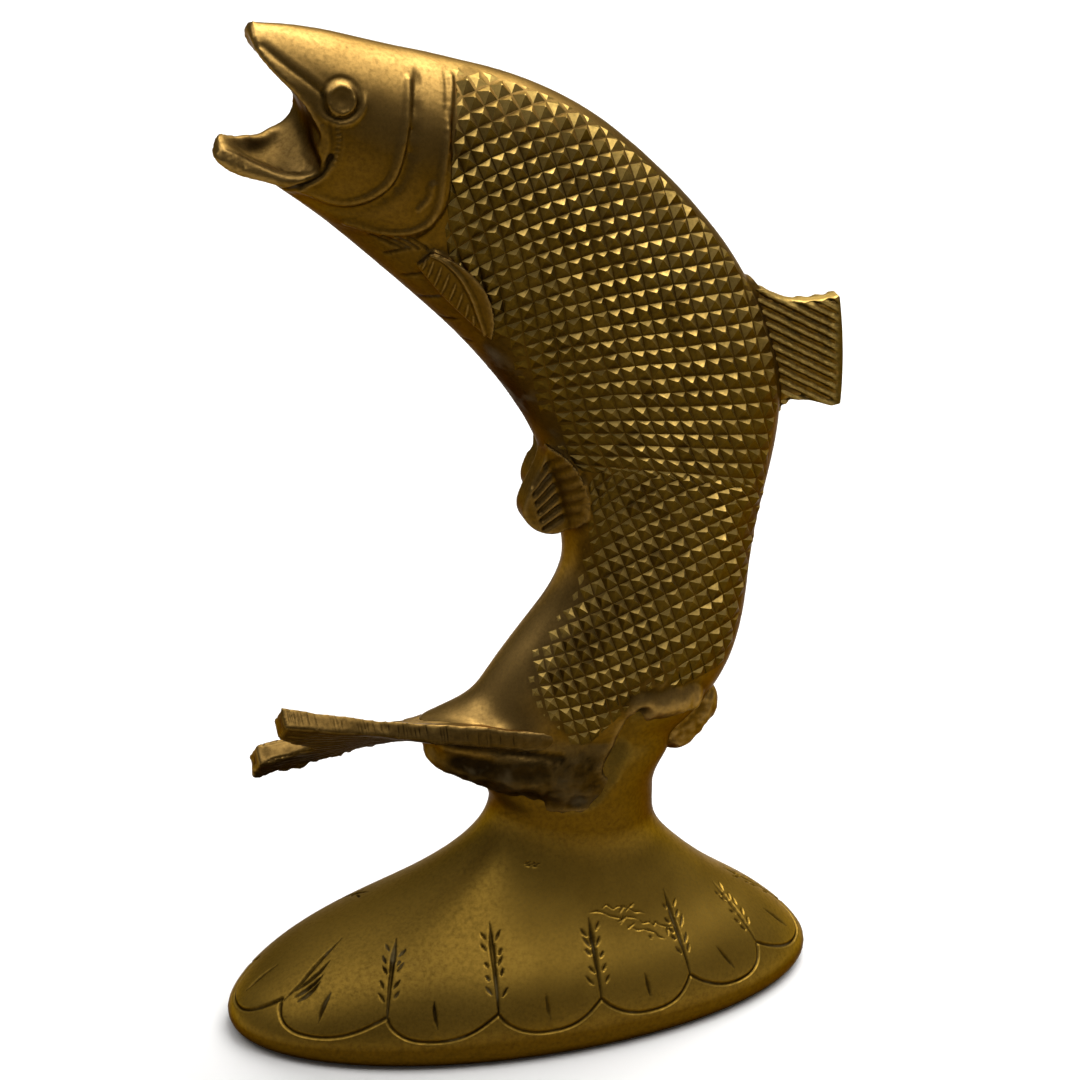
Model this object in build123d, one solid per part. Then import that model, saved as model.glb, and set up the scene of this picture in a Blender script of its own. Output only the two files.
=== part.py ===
from build123d import *
import os

os.makedirs("parts", exist_ok=True)

# Leaping fish on an oval pedestal, cast brass, in millimetres.
# The pedestal stands on Z zero, the fish's middle plane is Y zero and the head looks towards minus X.

# Pedestal
BASE_LENGTH = 116.4
BASE_WIDTH = 58.0
BASE_HEIGHT = 43.0
BASE_X = -2.9
NECK_X = 7.5
WALL = 4.0
NECK_DEPTH = 19.5
CAVITY_HEIGHT = BASE_HEIGHT - NECK_DEPTH

# Fish
FISH_HEIGHT = 160.5
FISH_SPAN = 120.0
FISH_THICKNESS = 30.0
CHEEK_STEP = 1.2
CHEEK_GROOVE = 1.3
EYE_DIAMETER = 5.2
EYE_RISE = 0.7
MOUTH_SCOOP_DIAMETER = 15.0
MOUTH_SLANT = 20.0
CUT_REACH = 80.0

# Foot of the fish, and the spigot that drops into the neck
FOOT_HEIGHT = 13.0
FOOT_LENGTH = 46.0
FOOT_WIDTH = 26.0
FOOT_OFFSET = 4.0
SPIGOT_DIAMETER = 16.0
SPIGOT_LENGTH = 8.0
SPIGOT_CLEARANCE = 0.2
SPIGOT_CHAMFER = 0.8

# Fins
DORSAL_THICKNESS = 3.6
DORSAL_RAYS = 10
DORSAL_RAY_LENGTH = 16.2
RAY_WIDTH = 1.1
RAY_DEPTH = 0.7
RAY_SLOPE = 22.0
TANG_CLEARANCE = 0.1
PECTORAL_RISE = 1.6
PELVIC_RISE = 1.6
PELVIC_KEEL = 10.0
PELVIC_RAYS = 6
PELVIC_STAGGER_X = 2.4
PELVIC_STAGGER_Z = 3.4
ADIPOSE_LENGTH = 14.0
ADIPOSE_WIDTH = 10.0
ADIPOSE_THICKNESS = 9.0
ADIPOSE_ROUND = 3.6
ADIPOSE_SLANT = 42.0
ADIPOSE_PIN_DIAMETER = 4.0
ADIPOSE_PIN_LENGTH = 9.0

# Tail fin, a plate that rolls from its root to its tips
TAIL_LENGTH = 57.0
TAIL_THICKNESS = 3.9
TAIL_WIDTH = 22.0
TAIL_ROLL = 8.0
TAIL_TWIST = 42.0
TAIL_FORK_DEPTH = 9.0
TAIL_FORK_WIDTH = 12.0

# Stud, washer and nut inside the pedestal
STUD_DIAMETER = 6.0
STUD_HOLE_CLEARANCE = 0.3
THREAD_CLEARANCE = 0.05
STUD_GRIP = 14.0
STUD_TAIL = 2.0
STUD_CHAMFER = 0.6
WASHER_DIAMETER = 18.0
WASHER_THICKNESS = 1.6
NUT_ACROSS_FLATS = 10.0
NUT_HEIGHT = 5.0

# Ribs of the fish from snout to tail: back point and belly point as shares of the span and the height,
# measured from the middle of the neck's top, then the rib's share of the thickness.
rib_shares = [
    (-0.496, 1.000, -0.555, 0.853, 0.24),
    (-0.421, 0.989, -0.503, 0.829, 0.47),
    (-0.345, 0.971, -0.413, 0.774, 0.65),
    (-0.192, 0.933, -0.287, 0.682, 0.83),
    (-0.066, 0.895, -0.208, 0.620, 0.93),
    (0.110, 0.797, -0.103, 0.519, 1.00),
    (0.258, 0.659, -0.043, 0.427, 1.00),
    (0.322, 0.546, -0.020, 0.364, 0.98),
    (0.331, 0.424, -0.013, 0.316, 0.94),
    (0.294, 0.274, -0.041, 0.246, 0.87),
    (0.255, 0.133, -0.118, 0.179, 0.80),
    (0.182, 0.072, -0.148, 0.150, 0.76),
    (0.040, 0.042, -0.180, 0.129, 0.70),
    (-0.101, 0.053, -0.216, 0.119, 0.60),
    (-0.210, 0.070, -0.255, 0.114, 0.47),
]
HEAD_RIBS = slice(0, 5)
PECTORAL_RIBS = slice(2, 8)
PELVIC_RIBS = slice(5, 11)

# Lines of the side view, as shares of the span and the height
gill_shares = [
    (-0.190, 0.965),
    (-0.224, 0.851),
    (-0.240, 0.782),
    (-0.272, 0.755),
    (-0.318, 0.750),
    (-0.376, 0.760),
    (-0.443, 0.748),
]
gill_rim_shares = [(-0.443, 0.748), (-0.700, 0.650), (-0.700, 1.080), (-0.190, 1.080), (-0.190, 0.965)]
groove_shares = [(-0.265, 0.931), (-0.280, 0.879), (-0.309, 0.816), (-0.374, 0.789), (-0.445, 0.805)]
eye_share = (-0.383, 0.9215)
lip_shares = [(-0.500, 0.988), (-0.487, 0.963), (-0.448, 0.929), (-0.419, 0.894), (-0.410, 0.869)]
lip_rim_shares = [(-0.410, 0.869), (-0.680, 0.897), (-0.680, 1.020), (-0.500, 0.988)]
jaw_shares = [(-0.410, 0.869), (-0.428, 0.845), (-0.465, 0.835), (-0.512, 0.845), (-0.562, 0.872)]
jaw_rim_shares = [(-0.562, 0.872), (-0.655, 0.900), (-0.655, 0.938), (-0.434, 0.897), (-0.410, 0.869)]
bowl_share = (-0.478, 0.884)
dorsal_top_shares = [(0.292, 0.630), (0.330, 0.600), (0.382, 0.588), (0.435, 0.5905)]
dorsal_edge_shares = [(0.435, 0.5905), (0.443, 0.517), (0.441, 0.453)]
dorsal_low_shares = [(0.441, 0.453), (0.403, 0.458), (0.358, 0.466), (0.334, 0.446)]
dorsal_tang_shares = [(0.334, 0.446), (0.285, 0.456), (0.255, 0.605), (0.292, 0.630)]
first_ray_share = (0.364, 0.588)
last_ray_share = (0.368, 0.480)
leaf_upper_shares = [(-0.251, 0.735), (-0.180, 0.692), (-0.155, 0.614)]
leaf_lower_shares = [(-0.155, 0.614), (-0.226, 0.670), (-0.272, 0.7165)]
leaf_root_shares = [(-0.272, 0.7165), (-0.251, 0.735)]
pelvic_shares = [
    (-0.056, 0.462),
    (-0.066, 0.425),
    (-0.090, 0.372),
    (-0.046, 0.345),
    (-0.008, 0.354),
    (0.006, 0.378),
    (-0.004, 0.416),
    (-0.026, 0.446),
    (-0.056, 0.462),
]
pelvic_first_ray_shares = [(-0.078, 0.408), (-0.026, 0.462)]
pelvic_last_ray_shares = [(-0.060, 0.352), (0.010, 0.382)]
keel_share = (0.000, 0.400)
tail_root_share = (-0.034, 0.078)
adipose_share = (0.180, 0.080)

# Tail fin: distance along it, rise, roll, width and slant of the tip, as shares of its length, twist and width
tail_shares = [
    (0.00, 0.000, 0.00, 1.00, 0.00),
    (0.43, 0.058, 0.32, 0.92, 0.00),
    (0.75, 0.080, 0.76, 0.94, 0.00),
    (0.98, 0.100, 1.00, 1.02, 0.13),
]

# Foot: height, length, offset and width, as shares of its sizes
foot_shares = [
    (0.00, 0.68, 0.00, 0.94),
    (0.20, 0.71, 0.12, 0.96),
    (0.52, 0.94, 0.75, 1.00),
    (1.00, 1.06, 1.15, 0.88),
]

# Pedestal: height, length, width and the move from the foot's centre to the neck, as shares;
# the hollow has one more share, of the wall that it leaves.
dome_shares = [
    (0.00, 0.945, 0.930, 0.00),
    (0.08, 1.000, 1.000, 0.00),
    (0.21, 0.935, 0.965, 0.00),
    (0.35, 0.795, 0.860, 0.12),
    (0.49, 0.595, 0.710, 0.44),
    (0.63, 0.432, 0.580, 0.72),
    (0.745, 0.338, 0.495, 0.84),
    (0.86, 0.287, 0.445, 0.94),
    (1.00, 0.275, 0.440, 1.00),
]
hollow_shares = [
    (0.00, 0.945, 0.930, 0.00, 1.00),
    (0.22, 0.935, 0.965, 0.00, 0.90),
    (0.47, 0.790, 0.850, 0.12, 0.70),
    (0.73, 0.595, 0.705, 0.44, 0.55),
    (1.00, 0.425, 0.570, 0.72, 0.50),
]


def flat_point(share):
    """A point of the side view, drawn flat."""
    return Vector(NECK_X + share[0] * FISH_SPAN, BASE_HEIGHT + share[1] * FISH_HEIGHT)


def fish_point(share):
    """The same point on the fish's middle plane."""
    return Plane.XZ.from_local_coords(flat_point(share))


def flat_curve(shares):
    """A smooth curve of the side view."""
    return Spline(*[flat_point(share) for share in shares])


def flat_lines(shares):
    """Straight lines of the side view."""
    return Polyline(*[flat_point(share) for share in shares])


def slab(face):
    """A prism through the whole fish from a face of the side view."""
    return extrude(Plane.XZ * face, CUT_REACH, both=True)


def plate(face, thickness):
    """A plate on the fish's middle plane from a face of the side view."""
    return extrude(Plane.XZ * face, thickness / 2, both=True)


def oval(length, width):
    """An oval in four quarters, so that lofts through ovals keep their corners together."""
    quarters = [
        EllipticalCenterArc((0, 0), length / 2, width / 2, start_angle=start, arc_size=90)
        for start in (0, 90, 180, 270)
    ]
    return make_face(quarters)


def rib(row, rise, reach):
    """One oval rib of the fish, raised by rise on both flanks and by reach at the belly."""
    back = fish_point(row[0:2])
    belly = fish_point(row[2:4])
    belly = belly + (belly - back).normalized() * reach
    axis = back - belly
    plane = Plane(origin=(back + belly) / 2, x_dir=axis, z_dir=axis.cross(Vector(0, 1, 0)))
    return plane * oval(axis.length, row[4] * FISH_THICKNESS + 2 * rise)


def trunk(rows, rise, reach):
    """The body through a run of ribs."""
    return loft([rib(row, rise, reach) for row in rows])


def level_oval(length, width, offset_share, height):
    """A level oval of the pedestal, its centre moved from the foot's centre towards the neck."""
    x = BASE_X + offset_share * (NECK_X - BASE_X)
    return Pos(x, 0, height) * oval(length, width)


# Trunk and head
plain = trunk(rib_shares, 0, 0)

# Gill covers: a raised layer over the cheeks that ends in a step along the gill slit, with a groove round the cheek
cheek = trunk(rib_shares[HEAD_RIBS], CHEEK_STEP, 0)
cheek = cheek & slab(make_face([flat_curve(gill_shares), flat_lines(gill_rim_shares)]))
cheek = cheek - slab(trace(flat_curve(groove_shares), CHEEK_GROOVE))

# Eyes: low discs on both cheeks
eye_rod = Plane(origin=fish_point(eye_share), z_dir=Vector(0, 1, 0)) * Cylinder(EYE_DIAMETER / 2, CUT_REACH)
eyes = eye_rod & trunk(rib_shares[HEAD_RIBS], CHEEK_STEP + EYE_RISE, 0)

# Mouth: the gape under the upper lip, and the slanted scoop of the lower jaw
gape = slab(make_face([flat_curve(lip_shares), flat_lines(lip_rim_shares)]))
jaw_face = Plane.XZ * make_face([flat_curve(jaw_shares), flat_lines(jaw_rim_shares)])
slant = Vector(0, 1, 0).rotate(Axis.X, MOUTH_SLANT)
scoop = extrude(jaw_face, CUT_REACH, dir=slant) + extrude(jaw_face, CUT_REACH, dir=slant * -1)
bowl = Pos(*fish_point(bowl_share)) * Sphere(MOUTH_SCOOP_DIAMETER / 2)

# Foot under the bend of the tail, with the spigot below it
foot_ovals = []
for height_share, length_share, offset_share, width_share in foot_shares:
    at = Pos(NECK_X - offset_share * FOOT_OFFSET, 0, BASE_HEIGHT + height_share * FOOT_HEIGHT)
    foot_ovals.append(at * oval(length_share * FOOT_LENGTH, width_share * FOOT_WIDTH))
foot = loft(foot_ovals)
spigot = Pos(NECK_X, 0, BASE_HEIGHT - SPIGOT_LENGTH / 2) * Cylinder(SPIGOT_DIAMETER / 2, SPIGOT_LENGTH)
spigot = chamfer(spigot.edges().sort_by(Axis.Z)[0], SPIGOT_CHAMFER)

body = plain + foot + cheek + eyes
body = body - gape - scoop - bowl
body = body + spigot

# Pectoral fins: leaf-shaped plates laid on the flanks behind the gill covers
leaf = make_face([flat_curve(leaf_upper_shares), flat_curve(leaf_lower_shares), flat_lines(leaf_root_shares)])
pectorals = trunk(rib_shares[PECTORAL_RIBS], PECTORAL_RISE, PECTORAL_RISE) & slab(leaf)
pectorals = pectorals - body

# Pelvic fins: a pair of plates that wrap the belly and meet in a keel, the right one set higher and further back;
# the grooves between their rays stop at a core that lies a ray's depth below the outside
wrap = trunk(rib_shares[PELVIC_RIBS], PELVIC_RISE, PELVIC_RISE)
keel = Pos(*fish_point(keel_share)) * Box(CUT_REACH, PELVIC_KEEL, CUT_REACH)
wrap_core = trunk(rib_shares[PELVIC_RIBS], PELVIC_RISE - RAY_DEPTH, PELVIC_RISE)
keel_core = Pos(*fish_point(keel_share)) * Box(CUT_REACH, PELVIC_KEEL - 2 * RAY_DEPTH, CUT_REACH)
pelvic_slab = slab(make_face(flat_curve(pelvic_shares)))
pelvic_rays = []
for number in range(PELVIC_RAYS):
    step = number / (PELVIC_RAYS - 1)
    ends = []
    for first, last in zip(pelvic_first_ray_shares, pelvic_last_ray_shares):
        ends.append(flat_point(first) + (flat_point(last) - flat_point(first)) * step)
    pelvic_rays.append(slab(trace(Line(*ends), RAY_WIDTH)))


def pelvic_fin(stagger):
    """Both pelvic fins at one place, moved from the left one's by the stagger."""
    outline = stagger * pelvic_slab
    fin = (keel & outline) + (wrap & outline)
    for ray in pelvic_rays:
        fin = fin - (stagger * ray - wrap_core - keel_core)
    return fin - plain


# Dorsal fin: a rayed plate whose tang sits in a slot along the back
dorsal_face = make_face(
    [
        flat_curve(dorsal_top_shares),
        flat_curve(dorsal_edge_shares),
        flat_curve(dorsal_low_shares),
        flat_lines(dorsal_tang_shares),
    ]
)
dorsal = plate(dorsal_face, DORSAL_THICKNESS)
body = body - plate(dorsal_face, DORSAL_THICKNESS + 2 * TANG_CLEARANCE)
ray_bar = Rot(0, RAY_SLOPE, 0) * Box(DORSAL_RAY_LENGTH, RAY_DEPTH * 2, RAY_WIDTH)
ray_first = fish_point(first_ray_share)
ray_last = fish_point(last_ray_share)
for number in range(DORSAL_RAYS):
    middle = ray_first + (ray_last - ray_first) * (number / (DORSAL_RAYS - 1))
    for side in (-1, 1):
        dorsal = dorsal - Pos(middle.X, side * DORSAL_THICKNESS / 2, middle.Z) * ray_bar

# Tail fin: a forked plate set through the end of the trunk
tail_root = fish_point(tail_root_share)
tail_ribs = []
for along_share, up_share, twist_share, width_share, slant_share in tail_shares:
    tail_end = tail_root + Vector(-along_share * TAIL_LENGTH, 0, up_share * TAIL_LENGTH)
    across = Vector(0, -1, 0).rotate(Axis.X, -TAIL_ROLL - twist_share * TAIL_TWIST)
    tail_face = across.cross(Vector(1, 0, 0))
    across = across + Vector(slant_share, 0, 0)
    tail_plane = Plane(origin=tail_end, x_dir=across, z_dir=across.cross(tail_face))
    tail_ribs.append(tail_plane * Rectangle(width_share * TAIL_WIDTH, TAIL_THICKNESS))
fork_plane = Plane(origin=tail_end, x_dir=across, z_dir=tail_face)
fork_points = [(-TAIL_FORK_WIDTH / 2, 0), (TAIL_FORK_WIDTH / 2, 0), (0, TAIL_FORK_DEPTH)]
fork = extrude(fork_plane * make_face(Polyline(*fork_points, close=True)), CUT_REACH, both=True)
tail = loft(tail_ribs) - fork
body = body - tail

# Adipose fin: a rounded lobe pinned to the back above the neck
lobe_outline = SlotOverall(ADIPOSE_LENGTH, ADIPOSE_WIDTH, rotation=90)
lobe = extrude(Plane.XZ * lobe_outline, ADIPOSE_THICKNESS / 2, both=True)
lobe = fillet(lobe.faces().filter_by(Axis.Y).edges(), ADIPOSE_ROUND)
pin = Rot(0, 90, 0) * Cylinder(ADIPOSE_PIN_DIAMETER / 2, ADIPOSE_PIN_LENGTH)
pin = Pos(-ADIPOSE_PIN_LENGTH / 2, 0, 0) * pin
adipose = Pos(*fish_point(adipose_share)) * Rot(0, ADIPOSE_SLANT, 0) * (lobe + pin)
body = body - adipose

# Pedestal: a hollow oval dome that narrows to the neck, with the spigot's socket and the stud's way through
dome_ovals = []
for height_share, length_share, width_share, offset_share in dome_shares:
    length = length_share * BASE_LENGTH
    width = width_share * BASE_WIDTH
    dome_ovals.append(level_oval(length, width, offset_share, height_share * BASE_HEIGHT))
hollow_ovals = []
for height_share, length_share, width_share, offset_share, wall_share in hollow_shares:
    length = length_share * BASE_LENGTH - 2 * wall_share * WALL
    width = width_share * BASE_WIDTH - 2 * wall_share * WALL
    hollow_ovals.append(level_oval(length, width, offset_share, height_share * CAVITY_HEIGHT))
socket_depth = SPIGOT_LENGTH + SPIGOT_CLEARANCE
socket = Cylinder(SPIGOT_DIAMETER / 2 + SPIGOT_CLEARANCE, socket_depth)
stud_way = Cylinder(STUD_DIAMETER / 2 + STUD_HOLE_CLEARANCE, BASE_HEIGHT)
base = loft(dome_ovals) - loft(hollow_ovals)
base = base - Pos(NECK_X, 0, BASE_HEIGHT - socket_depth / 2) * socket
base = base - Pos(NECK_X, 0, BASE_HEIGHT / 2) * stud_way

# Stud from the fish's foot down through the neck, with a washer and a nut inside the pedestal
stud_top = BASE_HEIGHT - SPIGOT_LENGTH + STUD_GRIP
stud_bottom = CAVITY_HEIGHT - WASHER_THICKNESS - NUT_HEIGHT - STUD_TAIL
stud = Pos(NECK_X, 0, (stud_top + stud_bottom) / 2) * Cylinder(STUD_DIAMETER / 2, stud_top - stud_bottom)
stud = chamfer(stud.edges().filter_by(GeomType.CIRCLE), STUD_CHAMFER)
stud_hole = Cylinder(STUD_DIAMETER / 2 + THREAD_CLEARANCE, STUD_GRIP)
body = body - Pos(NECK_X, 0, stud_top - STUD_GRIP / 2) * stud_hole

washer = Cylinder(WASHER_DIAMETER / 2, WASHER_THICKNESS)
washer = washer - Cylinder(STUD_DIAMETER / 2 + STUD_HOLE_CLEARANCE, WASHER_THICKNESS)
washer = Pos(NECK_X, 0, CAVITY_HEIGHT - WASHER_THICKNESS / 2) * washer
nut = extrude(RegularPolygon(NUT_ACROSS_FLATS / 2, 6, major_radius=False), NUT_HEIGHT / 2, both=True)
nut = nut - Cylinder(STUD_DIAMETER / 2 + THREAD_CLEARANCE, NUT_HEIGHT)
nut = Pos(NECK_X, 0, CAVITY_HEIGHT - WASHER_THICKNESS - NUT_HEIGHT / 2) * nut

# Write every piece; the fish's left side is the one towards minus Y
half = Box(CUT_REACH * 4, CUT_REACH * 2, CUT_REACH * 6)
left_half = Pos(0, -CUT_REACH, BASE_HEIGHT) * half
right_half = Pos(0, CUT_REACH, BASE_HEIGHT) * half
pieces = {
    "base_dome": base,
    "fish_body": body,
    "dorsal_fin": dorsal,
    "adipose_fin": adipose,
    "pectoral_fin_left": pectorals & left_half,
    "pectoral_fin_right": pectorals & right_half,
    "pelvic_fin_left": pelvic_fin(Pos(0, 0, 0)) & left_half,
    "pelvic_fin_right": pelvic_fin(Pos(PELVIC_STAGGER_X, 0, PELVIC_STAGGER_Z)) & right_half,
    "tail_fin": tail,
    "mounting_stud": stud,
    "mounting_washer": washer,
    "mounting_nut": nut,
}
for name, piece in pieces.items():
    print(name, round(piece.volume), len(piece.solids()), piece.is_valid)
    export_step(piece, f"parts/{name}.step")
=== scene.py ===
# %% [markdown]
# # A leaping fish in cast brass
# The figurine is a hollow oval pedestal with a bent fish standing on its neck. Every piece was cast in sand,
# filed, chased by hand with punches and chisels, and left to darken. This notebook loads the CAD model as a
# fixed frame and gives each piece its cast skin, its chased scales and fin rays, and its aged brass finish.

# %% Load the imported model
import functools
import math

import bmesh
import bpy
import numpy as np
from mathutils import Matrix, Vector, noise
from mathutils.bvhtree import BVHTree
from mathutils.kdtree import KDTree


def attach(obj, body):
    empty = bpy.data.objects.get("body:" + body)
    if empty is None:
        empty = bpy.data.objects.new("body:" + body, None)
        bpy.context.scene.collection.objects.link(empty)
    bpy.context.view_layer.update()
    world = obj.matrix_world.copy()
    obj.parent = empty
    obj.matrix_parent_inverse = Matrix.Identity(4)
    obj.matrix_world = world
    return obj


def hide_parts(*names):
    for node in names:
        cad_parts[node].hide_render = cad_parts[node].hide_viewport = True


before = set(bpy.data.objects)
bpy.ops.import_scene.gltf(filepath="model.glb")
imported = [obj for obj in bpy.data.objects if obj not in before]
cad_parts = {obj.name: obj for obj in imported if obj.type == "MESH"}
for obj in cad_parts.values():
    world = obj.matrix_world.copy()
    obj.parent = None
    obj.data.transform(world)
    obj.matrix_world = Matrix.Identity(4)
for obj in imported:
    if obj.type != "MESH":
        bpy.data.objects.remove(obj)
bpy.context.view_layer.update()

MM = 0.001

# %% [markdown]
# ## Camera
# The photograph looks a little down on the fish's left flank from well away, so the lines hardly converge. A long
# lens far off gives that. The picture's middle is a little below the point the lens looks at, which is what a
# vertical shift of the sensor does; turning the camera instead would change the angle on the object.

# %% Camera at the photograph's angle
CAMERA_TURN = math.radians(-18.0)
CAMERA_RISE = math.radians(25.0)
CAMERA_DISTANCE = 958 * MM
CAMERA_TARGET = Vector((1.35, 0, 100)) * MM
LENS = 170.95
SENSOR = 36.0
SHIFT_UP = -0.0213


def put(name, data):
    """A new object in the scene."""
    thing = bpy.data.objects.new(name, data)
    bpy.context.scene.collection.objects.link(thing)
    return thing


def look(thing, place, way):
    """Sets a camera or a lamp at a place, looking along a direction."""
    thing.location = place
    thing.rotation_mode = "QUATERNION"
    thing.rotation_quaternion = way.to_track_quat("-Z", "Y")


back = Vector((math.sin(CAMERA_TURN) * math.cos(CAMERA_RISE),
               -math.cos(CAMERA_TURN) * math.cos(CAMERA_RISE),
               math.sin(CAMERA_RISE)))
camera_data = bpy.data.cameras.new("camera")
camera_data.lens = LENS
camera_data.sensor_width = SENSOR
camera_data.shift_y = SHIFT_UP
camera = put("camera", camera_data)
look(camera, CAMERA_TARGET + back * CAMERA_DISTANCE, -back)
bpy.context.scene.camera = camera
print("camera at", [round(c, 3) for c in camera.location])

# %% [markdown]
# ## Small tools for nodes
# Materials and Geometry Nodes are both trees of nodes, so one function serves both: it adds a node, sets its
# properties, and fills its sockets with a value or a link. Colours are written as the sRGB hex that a colour
# picker shows, and one function turns them to the linear values that the renderer works in.

# %% Node adder, colour function and blank material
def add(tree, kind, sockets=None, **settings):
    """Adds a node with its settings; a socket gets a value, or a link from a socket or a node's first output."""
    node = tree.nodes.new(kind)
    for name, value in settings.items():
        setattr(node, name, value)
    for key, value in (sockets or {}).items():
        source = value.outputs[0] if isinstance(value, bpy.types.Node) else value
        if isinstance(source, bpy.types.NodeSocket):
            tree.links.new(source, node.inputs[key])
        else:
            node.inputs[key].default_value = source
    return node


def linear(colour):
    """An sRGB hex colour as linear red, green, blue and alpha."""
    parts = [int(colour[i:i + 2], 16) / 255 for i in (1, 3, 5)]
    return tuple(c / 12.92 if c <= 0.04045 else ((c + 0.055) / 1.055) ** 2.4 for c in parts) + (1.0,)


def blank(name):
    """A new material, its node tree and its shader."""
    material = bpy.data.materials.new(name)
    material.use_nodes = True
    return material, material.node_tree, material.node_tree.nodes["Principled BSDF"]


# %% [markdown]
# ## Stage and light
# The object stands on plain pale paper. A large soft lamp over the front right lights the head and the upper facets
# of the scales, another over the paper behind lights the crest of the back, and a weaker one stands over the left.
# The room itself is dim, so that the brass keeps its dark sides.

# %% Floor, lamps and room
FLOOR_HALF = 4.0
ROOM_LIGHT = 0.12


def lamp(name, place, target, size, watts):
    """A square soft lamp that points at a spot."""
    data = bpy.data.lights.new(name, "AREA")
    data.energy = watts
    data.size = size
    look(put(name, data), place, Vector(target) - Vector(place))


corners = [(x * FLOOR_HALF, y * FLOOR_HALF, 0) for x, y in ((-1, -1), (1, -1), (1, 1), (-1, 1))]
floor_mesh = bpy.data.meshes.new("floor")
floor_mesh.from_pydata(corners, [], [(0, 1, 2, 3)])
floor = put("floor", floor_mesh)
# Dull pale paper: a quiet ground that shows only the soft shadow.
paper, _, shader = blank("floor_paper")
shader.inputs["Base Color"].default_value = linear("#F4F3F1")
shader.inputs["Roughness"].default_value = 0.9
floor_mesh.materials.append(paper)

bpy.context.scene.view_settings.view_transform = "Standard"
room = bpy.data.worlds.new("room")
bpy.context.scene.world = room
room.use_nodes = True
walls = room.node_tree.nodes["Background"].inputs
walls["Color"].default_value = linear("#FFFFFF")
walls["Strength"].default_value = ROOM_LIGHT
lamp("window", (0.40, 0.48, 0.95), (0.10, 0.42, 0), 0.9, 12)
lamp("ceiling", (0.40, -0.22, 1.12), (0, 0, 0.1), 1.0, 10)
lamp("far_window", (-0.50, 0.10, 1.0), (0, 0, 0.08), 0.8, 3.5)
print("stage set with", len(bpy.data.lights), "lamps")

# %% [markdown]
# ## Aged brass
# Brass is copper and zinc: a metal, so its colour is the colour of its reflection. Faces that look up get a painted
# highlight of satin gold, faces that look down a painted shade of olive brown, and soot-dark tarnish and grey polish
# dust stay in the recesses. Each mesh carries an attribute for its hollows, from 0 on the open surface to 1 in a
# groove, with painted shade added in some places, and one called edge on its worn ridges, with a painted highlight
# added in some places; the material reads both, so that dirt follows the real shape.

# %% One function for all brass
CLOUD_MM, GRAIN_MM, DUST_MM = 16.0, 0.8, 7.0  # widths of the tarnish clouds, the sand's grain and the dust spots
BUMP_MM = 0.03


def brass(name, bright, deep, tarnish, dust, rough, low, high):
    """Aged cast brass: faces that look down keep the deep colour as painted shade, faces that look up take the bright
    colour as a painted highlight, from low to high.
    """
    material, tree, shader = blank(name)
    read = add(tree, "ShaderNodeTexCoord").outputs
    cloud, grain, powder = (
        add(tree, "ShaderNodeTexNoise", {"Vector": read["Object"], "Scale": 1 / (width * MM), "Detail": detail,
                                         "Roughness": uneven})
        for width, detail, uneven in ((CLOUD_MM, 4.0, 0.6), (GRAIN_MM, 4.0, 0.65), (DUST_MM, 3.0, 0.5)))
    # The hollows attribute holds groove tarnish and, in some places, painted shade; edge holds worn ridges and, in some
    # places, a painted highlight.
    recess, edge = (add(tree, "ShaderNodeAttribute", attribute_name=kind).outputs["Fac"] for kind in ("recess", "edge"))

    # Painted light from above: the bright colour is mixed in by how far each face looks up, with worn ridges added.
    painted_top_light = add(tree, "ShaderNodeSeparateXYZ", {0: read["Normal"]}).outputs["Z"]
    painted_top_light = add(tree, "ShaderNodeMapRange", {"Value": painted_top_light, "From Min": low, "From Max": high})
    patchy = add(tree, "ShaderNodeMapRange", {"Value": cloud, "From Min": 0.3, "From Max": 0.7,
                                              "To Min": 0.65, "To Max": 1.1})
    rubbed_and_painted_light = add(tree, "ShaderNodeMath", {0: painted_top_light, 1: patchy}, operation="MULTIPLY")
    rubbed_and_painted_light = add(tree, "ShaderNodeMath", {0: edge, 1: 0.35, 2: rubbed_and_painted_light}, operation="MULTIPLY_ADD", use_clamp=True)
    grained = add(tree, "ShaderNodeMapRange", {"Value": grain, "From Min": 0.4, "From Max": 0.75, "To Max": 0.4})
    soiled = add(tree, "ShaderNodeMath", {0: recess, 1: patchy}, operation="MULTIPLY", use_clamp=True)
    deepest = add(tree, "ShaderNodeMapRange", {"Value": soiled, "From Min": 0.5})
    powder = add(tree, "ShaderNodeMapRange", {"Value": powder, "From Min": 0.55, "From Max": 0.68, "To Max": 0.55})
    dusty = add(tree, "ShaderNodeMath", {0: powder, 1: deepest}, operation="MULTIPLY")
    toned = linear(deep)
    for share, colour in ((rubbed_and_painted_light, bright), (grained, tarnish), (soiled, tarnish), (dusty, dust)):
        toned = add(tree, "ShaderNodeMix", {0: share, 6: toned, 7: linear(colour)}, data_type="RGBA").outputs[2]

    metal = add(tree, "ShaderNodeMapRange", {"Value": dusty, "To Min": 1.0, "To Max": 0.2}).outputs[0]
    dull = add(tree, "ShaderNodeMath", {0: soiled, 1: 0.2, 2: rough}, operation="MULTIPLY_ADD")
    dull = add(tree, "ShaderNodeMath", {0: grained, 1: 0.3, 2: dull}, operation="MULTIPLY_ADD").outputs[0]
    bumpy = add(tree, "ShaderNodeBump", {"Height": grain, "Distance": BUMP_MM * MM, "Strength": 0.6}).outputs[0]
    for key, source in (("Base Color", toned), ("Metallic", metal), ("Roughness", dull), ("Normal", bumpy)):
        tree.links.new(source, shader.inputs[key])
    # Old brass stays brown where it is seen at a flat angle; a clean metal would turn white there.
    shader.inputs["Specular Tint"].default_value = linear("#B8AEA4")
    return material


# %% Three finishes of brass
# Satin metal: a painted gold highlight on what looks up, painted olive-brown shade below it.
satin = brass("brass_satin_painted_top_light", "#B08C4E", "#543A0A", "#1D1305", "#57482A", 0.36, 0.08, 0.95)
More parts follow.
